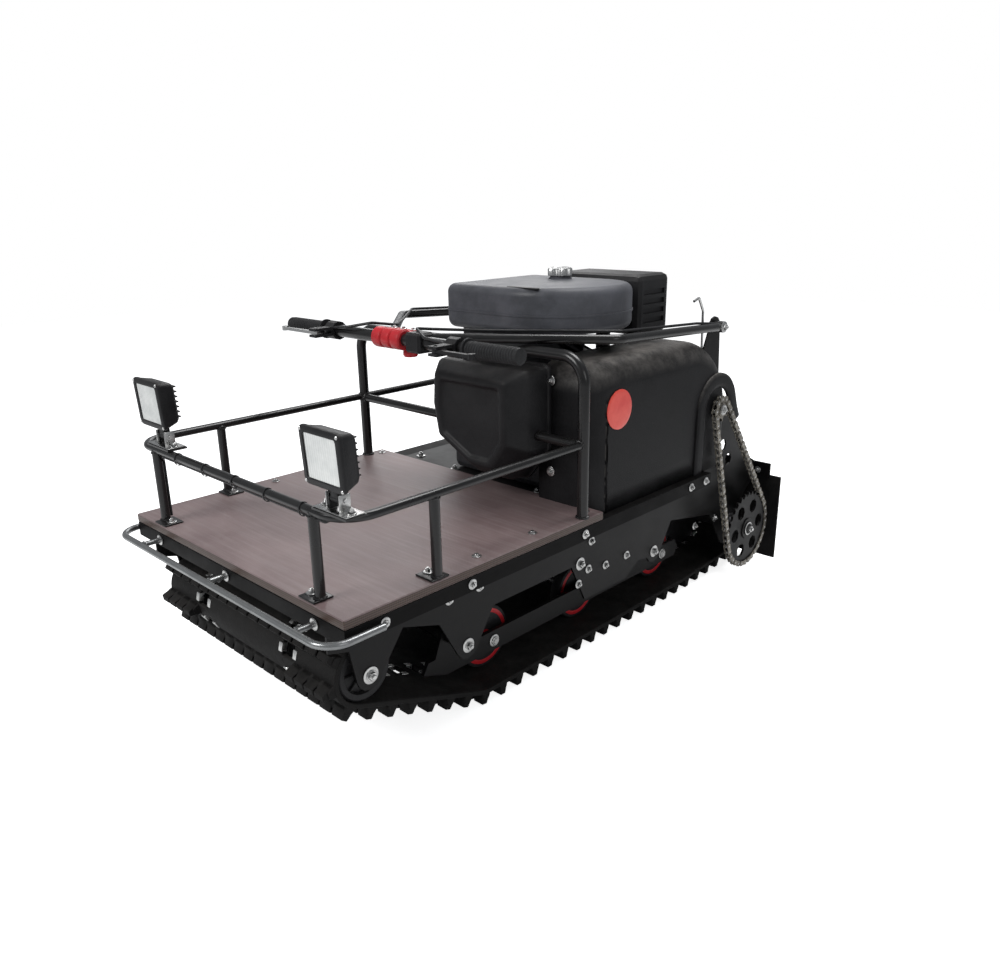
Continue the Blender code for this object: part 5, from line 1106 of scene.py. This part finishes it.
def plate_bolts():
    """Zinc bolts of the side plates, frame, deck and hood, and the axles' nuts."""
    small = [(0.299, 0.235), (0.232, 0.235), (0.583, 0.172), (0.636, 0.163), (0.554, 0.151),
             (0.704, 0.162), (0.591, 0.226), (0.955, 0.151), (1.039, 0.146)]
    big = [(0.559, 0.190), (0.270, 0.140), (0.800, 0.140)]
    for s, label in ((1, "right"), (-1, "left")):
        out = (s, 0, 0)
        plated("plate_bolts_" + label, [
            bolts([(s * PLATE_OUT, *spot) for spot in small], out, 0.0080, 0.0045),
            bolts([(s * PLATE_OUT, *spot) for spot in big], out, 0.0115, 0.006)])
        side = [(s * FRAME_OUT, y, BUMPER_Z) for y in (0.068, 0.236, 0.510, 0.850, 0.905)]
        plated("frame_bolts_" + label, [bolts(side, out, 0.0078, 0.0045)])
        nose_end = [(s * (PLATE_OUT + GAP), *NOSE)]
        plated("nose_nut_" + label, [bolts(nose_end, out, 0.0125, 0.006)], "idler")
    top = [(s * 0.285, y, DECK_TOP) for s in (-1, 1) for y in (0.270, 0.400, 0.540)]
    plated("deck_bolts", [bolts(top, (0, 0, 1), 0.0070, 0.003, False)])
    flap = [(x, 1.2077, 0.222) for x in np.linspace(-0.27, 0.27, 7)]
    plated("flap_bar_bolts", [bolts(flap, (0, -1, 0), 0.0075, 0.004)])
    plated("drive_nut", [bolts([(CHAIN_X + 0.006, *DRIVE)], (1, 0, 0), 0.0140, 0.007)], "drive")
    plated("jack_nut", [bolts([(CHAIN_X + 0.0048, *JACK)], (1, 0, 0), 0.0100)], "jack")
    front = [(0.201, COVER_Y - 0.0002, 0.527), (0.201, COVER_Y - 0.0002, 0.360)]
    plated("hood_front_bolts", [bolts(front, (0, -1, 0), 0.0085, 0.004)])
    # A thin dark plate on the tank top: painted shade that stands in for a recess there.
    plan = np.concatenate([bend(0.160, 0.553, 0.005, -90, 90, 8),
                           bend(0.095, 0.553, 0.005, 90, 270, 8)])
    piece("tank_recess_painted_shade", [slab(plan, 0.680, 0.6829, 0.001, 2)], MOULDING, "chassis")


def cables():
    """Control cables that run from the levers along the handle's arms."""
    for s, name in ((-1, "brake"), (1, "throttle")):
        run = tube([(s * 0.155, BAR_Y - 0.012, BAR_Z + 0.006),
                    (s * 0.105, BAR_Y - 0.017, BAR_Z + 0.012),
                    (s * 0.060, BAR_Y + 0.006, BAR_Z + 0.021),
                    (s * 0.046, 0.405, BAR_Z + 0.014), (s * 0.120, 0.480, BAR_Z + 0.009),
                    (s * 0.280, 0.640, BAR_Z + 0.004), (s * 0.2705, 0.900, 0.594),
                    (s * ARM_X, 0.975, 0.586)], 0.012, 5, 0.0026, 12, count=220)
        piece(name + "_cable", [run], CABLE_SKIN, "handle")


# Camera, light and floor


def camera():
    """The photograph's eye: 850 pixels of focal length on a frame of 1000."""
    yaw, pitch, roll = 0.770918, 0.315436, -0.016413
    back = np.array([math.sin(yaw) * math.cos(pitch), -math.cos(yaw) * math.cos(pitch),
                     math.sin(pitch)])
    right = np.array([math.cos(yaw), math.sin(yaw), 0.0])
    up = np.cross(right, -back)
    turn = np.array([math.cos(roll) * right + math.sin(roll) * up,
                     math.cos(roll) * up - math.sin(roll) * right, back])
    place = Matrix(turn.T.tolist()).to_4x4()
    place.translation = (1.160464, -0.576165 - MID, 0.822483)
    eye = bpy.data.cameras.new("photo_eye")
    eye.sensor_fit = "HORIZONTAL"
    eye.sensor_width = 36.0
    eye.lens = eye.sensor_width * 850 / 1000
    eye.clip_start = 0.02
    made = placed("photo_eye", eye)
    made.matrix_world = place
    bpy.context.scene.camera = made


def lamp(name, place, look, size, watts):
    """A soft square studio lamp."""
    light = bpy.data.lights.new(name, "AREA")
    light.size = size
    light.energy = watts
    made = placed(name, light)
    made.location = place
    made.rotation_euler = (Vector(look) - Vector(place)).to_track_quat("-Z", "Y").to_euler()


def studio():
    """Pale floor, white surroundings and four soft lamps."""
    world = bpy.data.worlds.new("studio")
    bpy.context.scene.world = world
    world.use_nodes = True
    tree = world.node_tree
    tree.nodes.clear()
    path = node(tree, "ShaderNodeLightPath").outputs
    clear = maths(tree, "MAXIMUM", path["Is Camera Ray"], path["Is Transmission Ray"])
    fill = node(tree, "ShaderNodeBackground", [("Color", (0.93, 0.96, 1.0, 1)),
                ("Strength", 0.30)])
    white = node(tree, "ShaderNodeBackground", [("Color", (1, 1, 1, 1)), ("Strength", 1.0)])
    mix = node(tree, "ShaderNodeMixShader", [(0, clear), (1, fill.outputs[0]),
               (2, white.outputs[0])])
    node(tree, "ShaderNodeOutputWorld", [("Surface", mix.outputs[0])])
    middle = (0, 0, 0.3)
    lamp("key", (-0.5, -2.6, 2.3), middle, 1.3, 46)
    lamp("overhead", (0.3, 0.9, 3.0), (0, 0.1, 0.3), 1.4, 52)
    lamp("side", (2.6, -0.6, 1.5), middle, 1.0, 7)
    lamp("rear", (-2.0, 1.8, 2.0), middle, 1.6, 20)
    far = 6.0
    mesh = bpy.data.meshes.new("floor")
    mesh.from_pydata([(-far, -far, 0), (far, -far, 0), (far, far, 0), (-far, far, 0)], [],
                     [(0, 1, 2, 3)])
    floor = placed("floor", mesh)
    mat, tree, shader = blank("pale_floor")[:3]
    for key, value in (("Base Color", (0.93, 0.93, 0.93, 1)), ("Roughness", 0.9),
                       ("Specular IOR Level", 0.1), ("Emission Color", (1, 1, 1, 1))):
        shader.inputs[key].default_value = value
    seen = node(tree, "ShaderNodeLightPath").outputs["Is Camera Ray"]
    tree.links.new(maths(tree, "MULTIPLY", seen, 0.82), shader.inputs["Emission Strength"])
    mesh.materials.append(mat)


guard_rail()
hoop()
bumper()
handle()
tank()
hood()
track()
chain()
wheels()
nose()
front_cover()
engine()
flap_strip()
lamp_leads()
for which in LAMPS:
    lamp_head(which)
    lamp_bracket(which)
plate_bolts()
cables()
camera()
studio()
bpy.context.scene.view_settings.view_transform = "Standard"
